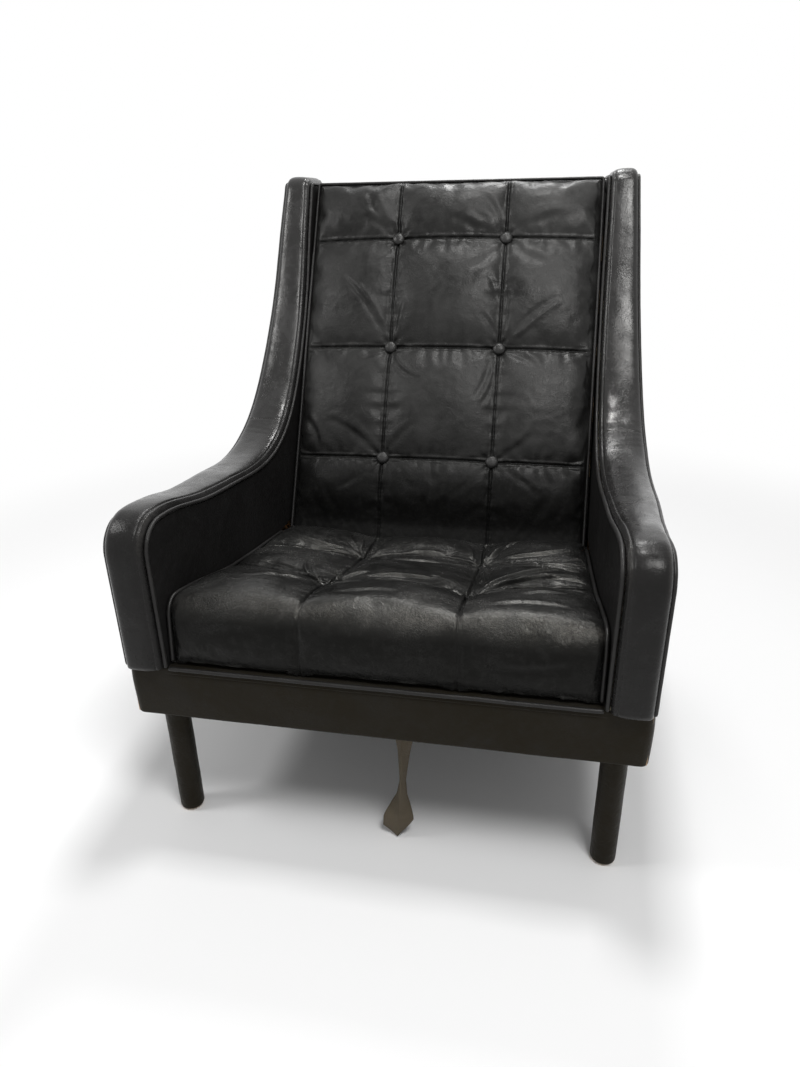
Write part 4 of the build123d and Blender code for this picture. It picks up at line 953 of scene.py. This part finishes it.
class BackCushion(bpy.types.Operator):
    """Makes the buttoned back cushion, its piping and its six covered buttons"""
    bl_idname = "chair.back_cushion"
    bl_label = "Back cushion"

    def execute(self, context):
        made = cushion("back_cushion_leather", BACK_HALF, SEAM_ACROSS, back_outline(), back_spot, back_lift,
                       back_details, "back", "back", 0.03, 6 * MM, ("back_cushion", "back_cushion_foam"))
        radius, corner = sizes().cushion_piping_radius, WELT_CORNER
        half, height = BACK_HALF - PIPING_SEAT / 2, BACK_HEIGHT - PIPING_SEAT
        straight = (2 * half - 2 * corner, height - 2 * corner)
        bend = corner * math.pi / 2
        runs = (straight[0], bend, straight[1], bend, straight[0], bend, straight[1], bend)
        total = sum(runs)
        turned = ((1, 0), (0, 1), (-1, 0), (0, -1))
        centres = ((half - corner, corner), (half - corner, height - corner),
                   (corner - half, height - corner), (corner - half, corner))
        starts = ((corner - half, 0), (half, corner), (half - corner, height), (-half, height - corner))

        def place(dist):
            quarter = 0
            while quarter < 3 and dist > runs[2 * quarter] + bend:
                dist -= runs[2 * quarter] + bend
                quarter += 1
            going = turned[quarter]
            if dist <= runs[2 * quarter]:
                spot = (starts[quarter][0] + going[0] * dist, starts[quarter][1] + going[1] * dist)
                out = (going[1], -going[0])
            else:
                angle = -math.pi / 2 + math.pi / 2 * quarter + (dist - runs[2 * quarter]) / corner
                out = (math.cos(angle), math.sin(angle))
                spot = (centres[quarter][0] + corner * out[0], centres[quarter][1] + corner * out[1])
            centre = back_spot(spot[0], spot[1] + PIPING_SEAT / 2, BACK_BOXING - PIPING_SEAT / 2)
            middle = back_spot(0, 0, 0)
            return centre, back_spot(out[0], out[1], 0) - middle, back_spot(0, 0, 1) - middle

        bends = []
        for quarter in range(4):
            end = sum(runs[:2 * quarter + 1])
            bends += [end, end + bend / 2, end + bend]
        stations = graded(0.0, total, bends, *BACK_WELT_GRID)
        made = piping("back_cushion_welt", stations, place, radius, "back", 10, True, 0.04)
        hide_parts("back_cushion_piping")
        self.buttons()
        return {"FINISHED"}

    def buttons(self):
        around, rings = BUTTON_GRID
        radius, height = sizes().button_radius, sizes().button_height
        low = BACK_BOXING + BUTTON_BED
        joined = bmesh.new()
        for across in (-SEAM_ACROSS, SEAM_ACROSS):
            for row in BACK_ROWS:
                def shape(column, ring):
                    angle = 2 * math.pi * (column % around) / around
                    share = min(ring, rings) / rings
                    size = radius * math.sin(share * math.pi / 2) ** 0.85
                    up = height * (math.cos(share * math.pi / 2) ** 0.75)
                    if ring > rings:
                        size, up = radius * (0.97 if ring == rings + 1 else 0.0), -0.6 * MM
                    pleat = 1 + 0.018 * math.cos(15 * angle + row * 90) * share ** 4
                    size *= pleat
                    return back_spot(across + size * math.cos(angle), row + size * math.sin(angle),
                                     low + up), 0.16 * share ** 6
                single = bent_grid(around, rings + 2, shape, True)
                mesh = bpy.data.meshes.new("one_button")
                single.to_mesh(mesh)
                single.free()
                joined.from_mesh(mesh)
                bpy.data.meshes.remove(mesh)
        made = piece("covered_buttons", joined, "button", "back")
        smoother(made)
        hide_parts("back_buttons")


class SeatCushion(bpy.types.Operator):
    """Makes the tufted seat cushion and the piping at its two ends"""
    bl_idname = "chair.seat_cushion"
    bl_label = "Seat cushion"

    def execute(self, context):
        made = cushion("seat_cushion_leather", SEAT_HALF, SEAT_SEAM, seat_outline(), deck_spot, seat_lift,
                       seat_details, "seat", "seat", 0.012, 3 * MM, ("seat_cushion", "seat_cushion_foam"))
        outline = [row for row in seat_outline() if row[5] > 0.5 and row[4] < SEAT_WELT_END]
        for side, name in SIDES:
            across = side * (SEAT_HALF - PIPING_SEAT / 2)

            def place(index, across=across):
                along, up, out_along, out_up = outline[index][:4]
                size = math.hypot(out_along, out_up)
                out = (out_along / size, out_up / size)
                centre = deck_spot(across, along - out[0] * PIPING_SEAT / 2,
                                   max(up, SEAT_WELT_LOWEST) - out[1] * PIPING_SEAT / 2)
                return centre, Vector((side, 0, 0)), deck_spot(0, *out) - deck_spot(0, 0, 0)
            welt = piping("seat_cushion_welt_" + name, range(len(outline)), place,
                          sizes().cushion_piping_radius, "seat", 10)
            if side < 0:
                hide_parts("seat_cushion_piping")
        return {"FINISHED"}


# ---- Sides ----

BAND_SEAM_DEPTH = 0.576
BAND_FOLD_DEPTHS = (0.535, 0.548, 0.561, 0.600, 0.618)
BAND_EDGE_STEPS = tuple(step * MM for step in (0, 0.8, 2, 3.4, 4.8, 6.0, 7.0, 8.0, 9.0, 10.2, 12, 15, 20))
BAND_MIDDLE_STEPS = 6
BAND_GRID = (7 * MM, 2.2 * MM, 8 * MM)
WELT_GRID = (8 * MM, 4 * MM, 20 * MM)
ARM_CORNER_AT = (0.19, 0.215)
WELT_LINE = 7.5 * MM
# How far in from the side's inner and outer faces the band and its welts lie, and the welts' height
BAND_INSETS = (4.3 * MM, 3.5 * MM)
WELT_INSETS = (1.6 * MM, 2.5 * MM)
WELT_LIFTS = (3.8 * MM, 4.4 * MM)
BAND_BED = 0.6 * MM
BAND_UNDER_STEPS = 4


class ArmBands(bpy.types.Operator):
    """Makes the padded leather bands on the arms and wings and the piping along both their edges"""
    bl_idname = "chair.arm_bands"
    bl_label = "Arm bands and piping"

    def execute(self, context):
        seam = side_line.where(BAND_SEAM_DEPTH)
        creases = [side_line.where(depth) for depth in BAND_FOLD_DEPTHS]
        radius = sizes().piping_radius
        wing_end = side_line.where(WING_LINE[-1][0])
        for side, name in SIDES:
            self.band(side, name, seam, creases)
            stations = graded(0.0, side_line.length, (*ARM_CORNER_AT, wing_end), *WELT_GRID)

            def inner(dist, side=side):
                centre = side_spot(side, SIDE_INNER + WELT_INSETS[0], dist, WELT_LIFTS[0])
                _, _, out_depth, out_height = side_line.at(dist)
                return centre, Vector((side, 0, 0)), Vector((0, out_depth, out_height))

            def outer(dist, side=side):
                depth, height, out_depth, out_height = side_line.at(dist)
                across = outer_face(depth, height) - WELT_INSETS[1]
                centre = side_spot(side, across, dist, WELT_LIFTS[1])
                return centre, Vector((side, 0, 0)), Vector((0, out_depth, out_height))

            for kind, place in (("inner", inner), ("outer", outer)):
                welt = piping(f"{kind}_arm_welt_{name}", stations, place, radius, "chair")
                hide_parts(f"{kind}_side_piping_{name}")
        return {"FINISHED"}

    def band(self, side, name, seam, creases):
        stations = graded(0.0, side_line.length, (0.0, seam, *creases, *ARM_CORNER_AT), *BAND_GRID)
        steps, middle = len(BAND_EDGE_STEPS), BAND_MIDDLE_STEPS
        crown = sizes().band_crown
        around = 2 * steps + middle + BAND_UNDER_STEPS

        def shape(column, row):
            dist = stations[column]
            depth, height, _, _ = side_line.at(dist)
            inner, outer = SIDE_INNER + BAND_INSETS[0], outer_face(depth, height) - BAND_INSETS[1]
            row = row % around
            if row < steps:
                across = inner + BAND_EDGE_STEPS[row]
            elif row < steps + middle:
                across = inner + BAND_EDGE_STEPS[-1] + (outer - inner - 2 * BAND_EDGE_STEPS[-1]) * (
                    row - steps + 1) / (middle + 1)
            elif row < 2 * steps + middle:
                across = outer - BAND_EDGE_STEPS[2 * steps + middle - 1 - row]
            else:
                under = row - 2 * steps - middle + 1
                across = outer + (inner - outer) * under / (BAND_UNDER_STEPS + 1)
                return side_spot(side, across, dist, BAND_BED), 0.0
            half = (outer - inner) / 2
            off = (across - (inner + outer) / 2) / half
            fullness = 3.0 if off < 0 else 5.0
            lift = BAND_BED + (crown - BAND_BED) * max(0.0, 1 - abs(off) ** fullness) ** 0.42
            lift += 2.0 * MM * (1 - off * off) * (0.5 + 0.5 * off)
            edge = half * (1 - abs(off))
            if off < 0:
                lift -= 1.5 * MM * bell(edge - WELT_LINE, 1.2 * MM)
                lift += 0.7 * MM * bell(edge - WELT_LINE + 3 * MM, 1.6 * MM)
            spot = side_spot(side, across, dist, lift)
            soft = min(1.0, edge / (12 * MM))
            relief = 1.1 * MM * wobble(spot, 17.0, 11.0) + 0.4 * MM * wobble(spot, 55.0, 12.0)
            relief -= 0.9 * MM * bell(dist - seam, 1.4 * MM) - 0.5 * MM * bell(dist - seam - 5 * MM, 3 * MM)
            for number, fold in enumerate(creases):
                lean = fold + (0.15 + 0.05 * number) * off * half
                relief -= 0.4 * MM * bell(dist - lean, 4 * MM) * max(0.0, 0.6 + wobble(spot, 25.0, number))
            hem = bell(dist, 4 * MM)
            relief -= 2.2 * MM * hem
            worn = 0.3 * bell(dist - 0.205, 0.03) * bell(edge - WELT_LINE + 3 * MM, 3 * MM)
            return side_spot(side, across, dist, lift + relief * soft), worn

        made = piece("arm_band_leather_" + name, bent_grid(len(stations) - 1, around, shape, True, True),
                     "band", "chair")
        # Painted shade: the front ends of the bands keep only 0.3 of their haze and reflection
        paint(made.data, "wear_and_sheen", np.clip((points_of(made.data)[:, 1] - FRONT - 8 * MM) / 0.04, 0.3, 1))
        smoother(made)
        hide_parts("arm_band_" + name)


# ---- Base ----

COVER_WALL = 2.5 * MM
COVER_CORNER = 0.012
RAIL_PIPING_HALF = 0.2965
FOLD_LINE_DROP = 0.0105
FACE_DROPS = (6, 7.6, 8.8, 9.8, 10.6, 11.4, 12.4, 14, 17, 23, 31, 40, 49, 58, 66, 73, 78)
COVER_COLUMNS = 320
# The share of each side's columns that its straight run takes; its corner takes the rest
COVER_STRAIGHT = 0.86
RAIL_PIPING_STEPS = 45


def base_loop(share, inset):
    """A point on the base's rounded outline, set in, and whether it lies on the front between the arms."""
    half, deep = BASE_HALF - inset, BASE_DEPTH / 2 - inset
    radius = max(COVER_CORNER - inset, 0.4 * MM)
    quarter = int(share * 4) % 4
    part = share * 4 - int(share * 4)
    flat = COVER_STRAIGHT
    along = (half - radius, deep - radius)
    corners = ((along[0], -along[1]), (along[0], along[1]), (-along[0], along[1]), (-along[0], -along[1]))
    corner, before = corners[quarter], corners[quarter - 1]
    heading = ((1, 0), (0, 1), (-1, 0), (0, -1))[quarter]
    out = (heading[1], -heading[0])
    if part < flat:
        spot = [before[axis] + (corner[axis] - before[axis]) * part / flat + out[axis] * radius
                for axis in (0, 1)]
    else:
        angle = (-90 + 90 * quarter + 90 * (part - flat) / (1 - flat)) * math.pi / 180
        out = (math.cos(angle), math.sin(angle))
        spot = [corner[axis] + out[axis] * radius for axis in (0, 1)]
    between = quarter == 0 and part < flat and abs(spot[0]) < RAIL_PIPING_HALF
    return spot[0], spot[1] + FRONT + BASE_DEPTH / 2, between


class Base(bpy.types.Operator):
    """Makes the leather cover of the base, its fold line and the piping along the front rail"""
    bl_idname = "chair.base"
    bl_label = "Base cover"

    def execute(self, context):
        low, high = BASE_BOTTOM, BASE_TOP
        section = [(0.029, high), (0.022, high), (0.014, high), (0.008, high), (0.0042, high - 0.2 * MM),
                   (0.0016, high - 1.4 * MM), (0.0003, high - 3.6 * MM)]
        section += [(0.0, high - drop * MM) for drop in FACE_DROPS]
        section += [(0.0, low + 4 * MM), (0.0002, low + 2 * MM), (0.0012, low + 0.5 * MM), (0.0035, low),
                    (0.008, low), (0.0115, low), (0.0145, low)]
        section += [(inset, low + COVER_WALL) for inset in (0.0145, 0.010, 0.004)]
        section += [(COVER_WALL, height) for height in (low + 4 * MM, low + 20 * MM, low + 42 * MM,
                                                        high - 20 * MM, high - 4 * MM)]
        section += [(inset, high - COVER_WALL) for inset in (0.004, 0.012, 0.029)]
        columns, rows = COVER_COLUMNS, len(section)

        def shape(column, row):
            inset, height = section[row % rows]
            across, deep, between = base_loop((column % columns) / columns, inset)
            if inset < 2 * MM:
                drop = high - height
                puff = 0.6 * MM + 1.3 * MM * math.sin(math.pi * min(1.0, drop / (high - low)))
                puff += 0.7 * MM * wobble((across, deep, height), 14.0, 21.0)
                puff += 0.35 * MM * wobble((across, deep, height), 60.0, 22.0)
                if between:
                    puff += 1.2 * MM * bell(drop - FOLD_LINE_DROP + 1.4 * MM, 1.7 * MM)
                    puff -= 1.1 * MM * bell(drop - FOLD_LINE_DROP - 0.8 * MM, 1.0 * MM)
                across, deep, _ = base_loop((column % columns) / columns, inset - puff)
            return Vector((across, deep, height)), 0.12 * bell(high - height - 2 * MM, 3 * MM)

        made = piece("base_leather_cover", bent_grid(columns, rows, shape, True), "base", "chair")
        smoother(made)
        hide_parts("base_cover")
        radius = sizes().piping_radius
        stations = [-RAIL_PIPING_HALF + RAIL_PIPING_HALF * step / RAIL_PIPING_STEPS
                    for step in range(2 * RAIL_PIPING_STEPS + 1)]

        def place(across):
            return (Vector((across, FRONT - radius, BASE_TOP + 0.5 * MM * wobble((across, 0, 0), 20.0, 3.0))),
                    Vector((0, -1, 0)), Vector((0, 0, 1)))
        welt = piping("front_rail_welt", stations, place, radius, "chair", wear=0.04)
        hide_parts("front_rail_piping")
        return {"FINISHED"}


# ---- Legs ----

SLEEVE_WALL = 2 * MM
SLEEVE_GRID = (48, 40)
COLLAR_FLARE, COLLAR_HEIGHT = 2.5 * MM, 9 * MM
COLLAR_DROPS = (11, 8.5, 6, 4, 2.4, 1.2, 0.4, 0)


class Legs(bpy.types.Operator):
    """Makes the four stitched leather leg sleeves with their flared collars"""
    bl_idname = "chair.legs"
    bl_label = "Leg sleeves"

    def execute(self, context):
        for place in ("front_left", "front_right", "rear_left", "rear_right"):
            low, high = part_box("leg_sleeve_" + place)
            centre = (low + high) / 2
            self.sleeve(place, centre.x, centre.y, low.z, high.z)
        return {"FINISHED"}

    def sleeve(self, name, across, deep, low, high):
        around, rings = SLEEVE_GRID
        radius, core = sizes().leg_radius, sizes().leg_radius - SLEEVE_WALL
        levels = [low, low + 0.8 * MM, low + 2 * MM, low + 4 * MM]
        levels += [low + 4 * MM + (high - low - 18 * MM) * step / rings for step in range(1, rings + 1)]
        levels += [high - drop * MM for drop in COLLAR_DROPS]
        inner_levels = [high, high - 20 * MM, (low + high) / 2, low + 20 * MM, low]
        rows = len(levels) + len(inner_levels)
        inward = -1.0 if across > 0 else 1.0

        def shape(column, row):
            angle = 2 * math.pi * (column % around) / around
            row = row % rows
            if row >= len(levels):
                level, size = inner_levels[row - len(levels)], core
            else:
                level = levels[row]
                flare = max(0.0, (level - high + COLLAR_HEIGHT) / COLLAR_HEIGHT)
                size = radius + COLLAR_FLARE * flare ** 1.6
                size -= 0.7 * MM * bell(level - low, 1.2 * MM)
                size -= 0.5 * MM * bell(level - high, 0.8 * MM)
                seam = abs((angle - math.atan2(0.8, inward) + math.pi) % (2 * math.pi) - math.pi) * radius
                size += 0.6 * MM * bell(seam - 1.6 * MM, 1.3 * MM) - 0.5 * MM * bell(seam, 0.8 * MM)
                spot = (across + size * math.cos(angle), deep + size * math.sin(angle), level)
                size += 0.35 * MM * wobble(spot, 30.0, 31.0) + 0.18 * MM * wobble(spot, 110.0, 32.0)
                gathers = bell(high - level - 12 * MM, 8 * MM)
                size += 0.3 * MM * gathers * math.sin(9 * angle + 2 * math.sin(3 * angle))
            return Vector((across + size * math.cos(angle), deep + size * math.sin(angle), level)), 0.0

        made = piece("leg_leather_" + name, bent_grid(around, rows, shape, True), "leg", "chair")
        smoother(made)
        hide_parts("leg_sleeve_" + name)


# ---- Outside back ----

# The outside back's top lies lower over the roll than over the sides, past SIDE_COVER_FROM
OUTSIDE_WALL = 3 * MM
OUTSIDE_HALF = 0.38
OUTSIDE_GRID = (84, 70)
ROLL_DROP = 9 * MM
SIDE_DROP = 1.2 * MM
SIDE_COVER_FROM, SIDE_COVER_RUN = 0.294, 0.009
ROLL_ROUNDING = 5 * MM


class OutsideBack(bpy.types.Operator):
    """Makes the outside back panel and the leather roll over the top rail"""
    bl_idname = "chair.outside_back"
    bl_label = "Outside back"

    def execute(self, context):
        slope = (TOP_EDGE_END - BASE_DEPTH) / (side_line.top - BASE_TOP)
        length = math.hypot(slope, 1.0)
        out = Vector((0, 1, -slope)) / length
        columns, rows = OUTSIDE_GRID

        def shape(column, row):
            share = 2 * column / columns - 1
            over_side = min(1.0, max(0.0, (abs(share) * OUTSIDE_HALF - SIDE_COVER_FROM) / SIDE_COVER_RUN))
            top = side_line.top - ROLL_DROP + (ROLL_DROP - SIDE_DROP) * over_side
            height = BASE_TOP + (top - BASE_TOP) * row / rows
            depth = BASE_DEPTH + slope * (height - BASE_TOP)
            half = outer_face(depth, height) - SIDE_DROP
            across = half * share
            edge = min(half - abs(across), (height - BASE_TOP) * length, (top - height) * length)
            spot = Vector((across, FRONT + depth, height))
            puff = 2.2 * MM * (1 - share ** 4) * math.sin(math.pi * row / rows) ** 0.5
            puff += 0.8 * MM * wobble(spot, 9.0, 41.0) * min(1.0, edge / (30 * MM))
            puff -= 0.9 * MM * bell(edge - 11 * MM, 3 * MM)
            puff -= 1.2 * MM * bell(edge, 3 * MM)
            return spot + out * (puff + OUTSIDE_WALL), 0.1 * bell(edge - 4 * MM, 5 * MM)

        sheet = bent_grid(columns, rows, shape)
        if sum(face.normal.dot(out) for face in sheet.faces) < 0:
            bmesh.ops.reverse_faces(sheet, faces=sheet.faces)
        made = piece("outside_back_leather", sheet, "side", "chair")
        wall = made.modifiers.new("wall", "SOLIDIFY")
        wall.thickness, wall.offset = OUTSIDE_WALL, -1.0
        smoother(made)
        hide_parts("outside_back")
        rounded_copy("back_top_roll", "back_top_leather", ROLL_ROUNDING, "side")
        return {"FINISHED"}


def rounded_copy(node, name, width, finish, segments=4):
    """A copy of a CAD piece with its flat faces merged and its edges rounded over."""
    bm = bmesh.new()
    bm.from_mesh(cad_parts[node].data)
    bmesh.ops.remove_doubles(bm, verts=bm.verts, dist=1e-6)
    bmesh.ops.dissolve_limit(bm, angle_limit=math.radians(2), verts=bm.verts, edges=bm.edges)
    sharp = [edge for edge in bm.edges if edge.is_manifold and edge.calc_face_angle() > math.radians(25)]
    bmesh.ops.bevel(bm, geom=sharp, offset=width, affect="EDGES", segments=segments, profile=0.5, material=-1,
                    clamp_overlap=True)
    made = piece(name, bm, finish, "chair")
    keep_flats(made.data)
    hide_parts(node)
    return made


def keep_flats(mesh):
    """Flat faces stay flat where they meet at a clear angle."""
    mesh.set_sharp_from_angle(angle=math.radians(40))


# ---- Hanging strap ----

STRAP_TOP = 0.246
STRAP_HEIGHTS = (0.003, 0.015, 0.035, 0.048, 0.067, 0.095, 0.120, 0.150, 0.172, 0.246)
STRAP_OPENINGS = (0.78, 0.93, 0.93, 0.66, 0.30, 0.16, 0.25, 0.36, 0.50, 0.60)
STRAP_FOLD_LINE = (0.0185, 0.0185, 0.0195, 0.021, 0.0225, 0.0245, 0.0255, 0.027, 0.028, 0.028)
STRAP_END_SLANT = 0.030
STRAP_THICKNESS = 1.6 * MM
STRAP_FOLD_RADIUS = 2.0 * MM
STRAP_BEHIND_RAIL = 1.2 * MM
STRAP_GRID = (24, 90)


class HangingStrap(bpy.types.Operator):
    """Makes the loose webbing strap that hangs folded behind the front rail"""
    bl_idname = "chair.hanging_strap"
    bl_label = "Hanging strap"

    def execute(self, context):
        width = sizes().strap_width
        columns, rows = STRAP_GRID
        low = STRAP_HEIGHTS[0]
        length = STRAP_TOP - low

        def shape(column, row):
            flat = (column / columns - 0.5) * width
            off = abs(2 * flat / width)
            slant = STRAP_END_SLANT * off ** 1.4 if flat > 0 else 5 * MM * off
            height = low + slant + (length - slant) * row / rows
            opening = float(np.interp(height, STRAP_HEIGHTS, STRAP_OPENINGS))
            reach = math.hypot(flat, STRAP_FOLD_RADIUS) - STRAP_FOLD_RADIUS
            across = float(np.interp(height, STRAP_HEIGHTS, STRAP_FOLD_LINE))
            across += math.copysign(reach * opening, flat)
            deep = DECK_START + STRAP_BEHIND_RAIL + reach * math.sqrt(1 - opening ** 2)
            curl = 1.5 * MM * bell(height - low - slant, 9 * MM)
            curl += 0.9 * MM * (1 + math.sin(height / MM * 0.07 + flat / MM * 0.1))
            return Vector((across, FRONT + deep + curl, height)), 0.0

        made = piece("hanging_webbing", bent_grid(columns, rows, shape, laid_flat=(width, length)), "strap",
                     "chair")
        wall = made.modifiers.new("wall", "SOLIDIFY")
        wall.thickness, wall.offset = STRAP_THICKNESS, 0.0
        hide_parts("hanging_strap")
        return {"FINISHED"}


# ---- Pieces that keep their CAD shape ----

CAD_FINISHES = {
    "inner": ("inner_side_panel_left", "inner_side_panel_right"),
    # Near black beech where the frame shows in the gaps beside the cushions: partly the lining, partly
    # painted shade
    "dark_lining_and_shade": ("back_cleat_left", "back_cleat_right", "back_low_rail", "back_top_rail",
                "seat_side_cleat_left", "seat_side_cleat_right"),
    "side": ("outer_side_panel_left", "outer_side_panel_right"),
    "stuffing": ("side_padding_left", "side_padding_right"),
    "glide": ("leg_glides",),
    "steel": ("frame_bolts_left", "frame_bolts_right", "leg_bolts"),
    "jute": ("seat_webbing_lengthwise", "seat_webbing_cross", "back_webbing"),
    "lining": ("seat_deck", "dust_cover"),
    "thread": ("seat_tuft_knots",),
}


class CarriedPieces(bpy.types.Operator):
    """Gives every piece that keeps its CAD shape its own finish"""
    bl_idname = "chair.carried_pieces"
    bl_label = "Frame and linings"

    def execute(self, context):
        chosen = {node: finish for finish, nodes in CAD_FINISHES.items() for node in nodes}
        for node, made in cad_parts.items():
            made.data.materials.clear()
            made.data.materials.append(finishes[chosen.get(node, "beech")])
        return {"FINISHED"}


# ---- Stage ----

CAMERA_PLACE = (0.19383, -1.25339, 0.88483)
CAMERA_YAW, CAMERA_PITCH, CAMERA_ROLL = (math.radians(angle) for angle in (-11.133, 24.065, 1.124))
CAMERA_LENS, CAMERA_SENSOR = 24.91, 36.0
LAMPS = (
    ("front_softbox", (0.75, -1.35, 2.60), (0.05, 0.0, 0.4), 0.7, 30.0),
    ("top_softbox", (0.10, 0.05, 2.8), (0.05, 0.05, 0.4), 0.40, 24.0),
    ("left_softbox", (-1.7, -0.8, 2.1), (0.1, 0.1, 0.55), 0.5, 15.0),
    ("rear_softbox", (0.1, 1.65, 2.9), (0.0, 0.0, 0.4), 0.6, 30.0),
)
FLOOR_RADIUS = 14.0
# How far from the chair the floor starts to turn white and is white, and the surround's light on the chair
WHITE_FROM, WHITE_BY = 1.0, 1.9
FILL_LIGHT = 0.30


class Stage(bpy.types.Operator):
    """Makes the pale floor, the soft lamps, the white surround and the camera"""
    bl_idname = "chair.stage"
    bl_label = "Stage"

    def execute(self, context):
        scene = context.scene
        scene.view_settings.view_transform = "Standard"
        self.camera(scene)
        self.floor()
        self.surround(scene)
        for name, spot, target, size, power in LAMPS:
            data = bpy.data.lights.new(name, "AREA")
            data.shape, data.size, data.energy = "SQUARE", size, power
            lamp = bpy.data.objects.new(name, data)
            scene.collection.objects.link(lamp)
            lamp.location = spot
            lamp.rotation_mode = "QUATERNION"
            lamp.rotation_quaternion = (Vector(target) - Vector(spot)).to_track_quat("-Z", "Y")
        return {"FINISHED"}

    def camera(self, scene):
        data = bpy.data.cameras.new("photo_camera")
        data.lens, data.sensor_width, data.clip_start = CAMERA_LENS, CAMERA_SENSOR, 0.02
        made = bpy.data.objects.new("photo_camera", data)
        scene.collection.objects.link(made)
        flat = math.cos(CAMERA_PITCH)
        ahead = Vector((math.sin(CAMERA_YAW) * flat, math.cos(CAMERA_YAW) * flat, -math.sin(CAMERA_PITCH)))
        level = Vector((math.cos(CAMERA_YAW), -math.sin(CAMERA_YAW), 0))
        down = ahead.cross(level)
        right = level * math.cos(CAMERA_ROLL) + down * math.sin(CAMERA_ROLL)
        below = down * math.cos(CAMERA_ROLL) - level * math.sin(CAMERA_ROLL)
        axes = Matrix((right, -below, -ahead)).transposed().to_4x4()
        made.matrix_world = Matrix.Translation(CAMERA_PLACE) @ axes
        scene.camera = made

    def floor(self):
        bm = bmesh.new()
        bmesh.ops.create_circle(bm, cap_ends=True, segments=96, radius=FLOOR_RADIUS)
        mesh = bpy.data.meshes.new("pale_floor")
        bm.to_mesh(mesh)
        bm.free()
        made = bpy.data.objects.new("pale_floor", mesh)
        bpy.context.scene.collection.objects.link(made)
        tint = Finish("pale_floor", 0.9, 0.1)
        speck = tint.spread(tint.cloud(30.0, 4.0), 0.3, 0.7, 0.0, 0.04)
        tint.finish(tint.mix(speck, rgba(colours().floor), rgba(colours().floor, 0.95)))
        away = tint.put("VectorMath", {"operation": "LENGTH"}, Vector=tint.place).outputs["Value"]
        white = tint.put("Emission")
        share = tint.sum("MULTIPLY", tint.white_rays(), tint.spread(away, WHITE_FROM, WHITE_BY))
        blend = tint.put("MixShader", None, Fac=share)
        tint.feed(blend.inputs[1], tint.shader.outputs["BSDF"])
        tint.feed(blend.inputs[2], white.outputs["Emission"])
        tint.feed(tint.surface, blend.outputs[0])
        mesh.materials.append(tint.material)

    def surround(self, scene):
        world = bpy.data.worlds.new("white_surround")
        scene.world = world
        sky = Nodes(world)
        strength = sky.spread(sky.white_rays(), 0.0, 1.0, FILL_LIGHT, 1.0)
        light = sky.put("Background", None, Color=(1.0, 1.0, 1.0, 1.0), Strength=strength)
        sky.put("OutputWorld", None, Surface=light.outputs[0])


OPERATORS = (Stage, CarriedPieces, BackCushion, SeatCushion, ArmBands, Base, Legs, OutsideBack, HangingStrap)


class DressingPanel(bpy.types.Panel):
    bl_label = "Lounge chair"
    bl_idname = "VIEW3D_PT_lounge_chair"
    bl_space_type = "VIEW_3D"
    bl_region_type = "UI"
    bl_category = "Lounge chair"

    def draw(self, context):
        layout = self.layout
        for operator in OPERATORS:
            layout.operator(operator.bl_idname)
        for group in (context.scene.chair_sizes, context.scene.chair_colours):
            box = layout.box()
            for key in group.__annotations__:
                box.prop(group, key)


CLASSES = (ChairSizes, ChairColours, *OPERATORS, DressingPanel)


def register():
    for kind in CLASSES:
        bpy.utils.register_class(kind)
    bpy.types.Scene.chair_sizes = bpy.props.PointerProperty(type=ChairSizes)
    bpy.types.Scene.chair_colours = bpy.props.PointerProperty(type=ChairColours)


def unregister():
    del bpy.types.Scene.chair_sizes
    del bpy.types.Scene.chair_colours
    for kind in reversed(CLASSES):
        bpy.utils.unregister_class(kind)


def main():
    register()
    make_finishes()
    for operator in OPERATORS:
        group, name = operator.bl_idname.split(".")
        getattr(getattr(bpy.ops, group), name)()


if __name__ == "__main__":
    main()
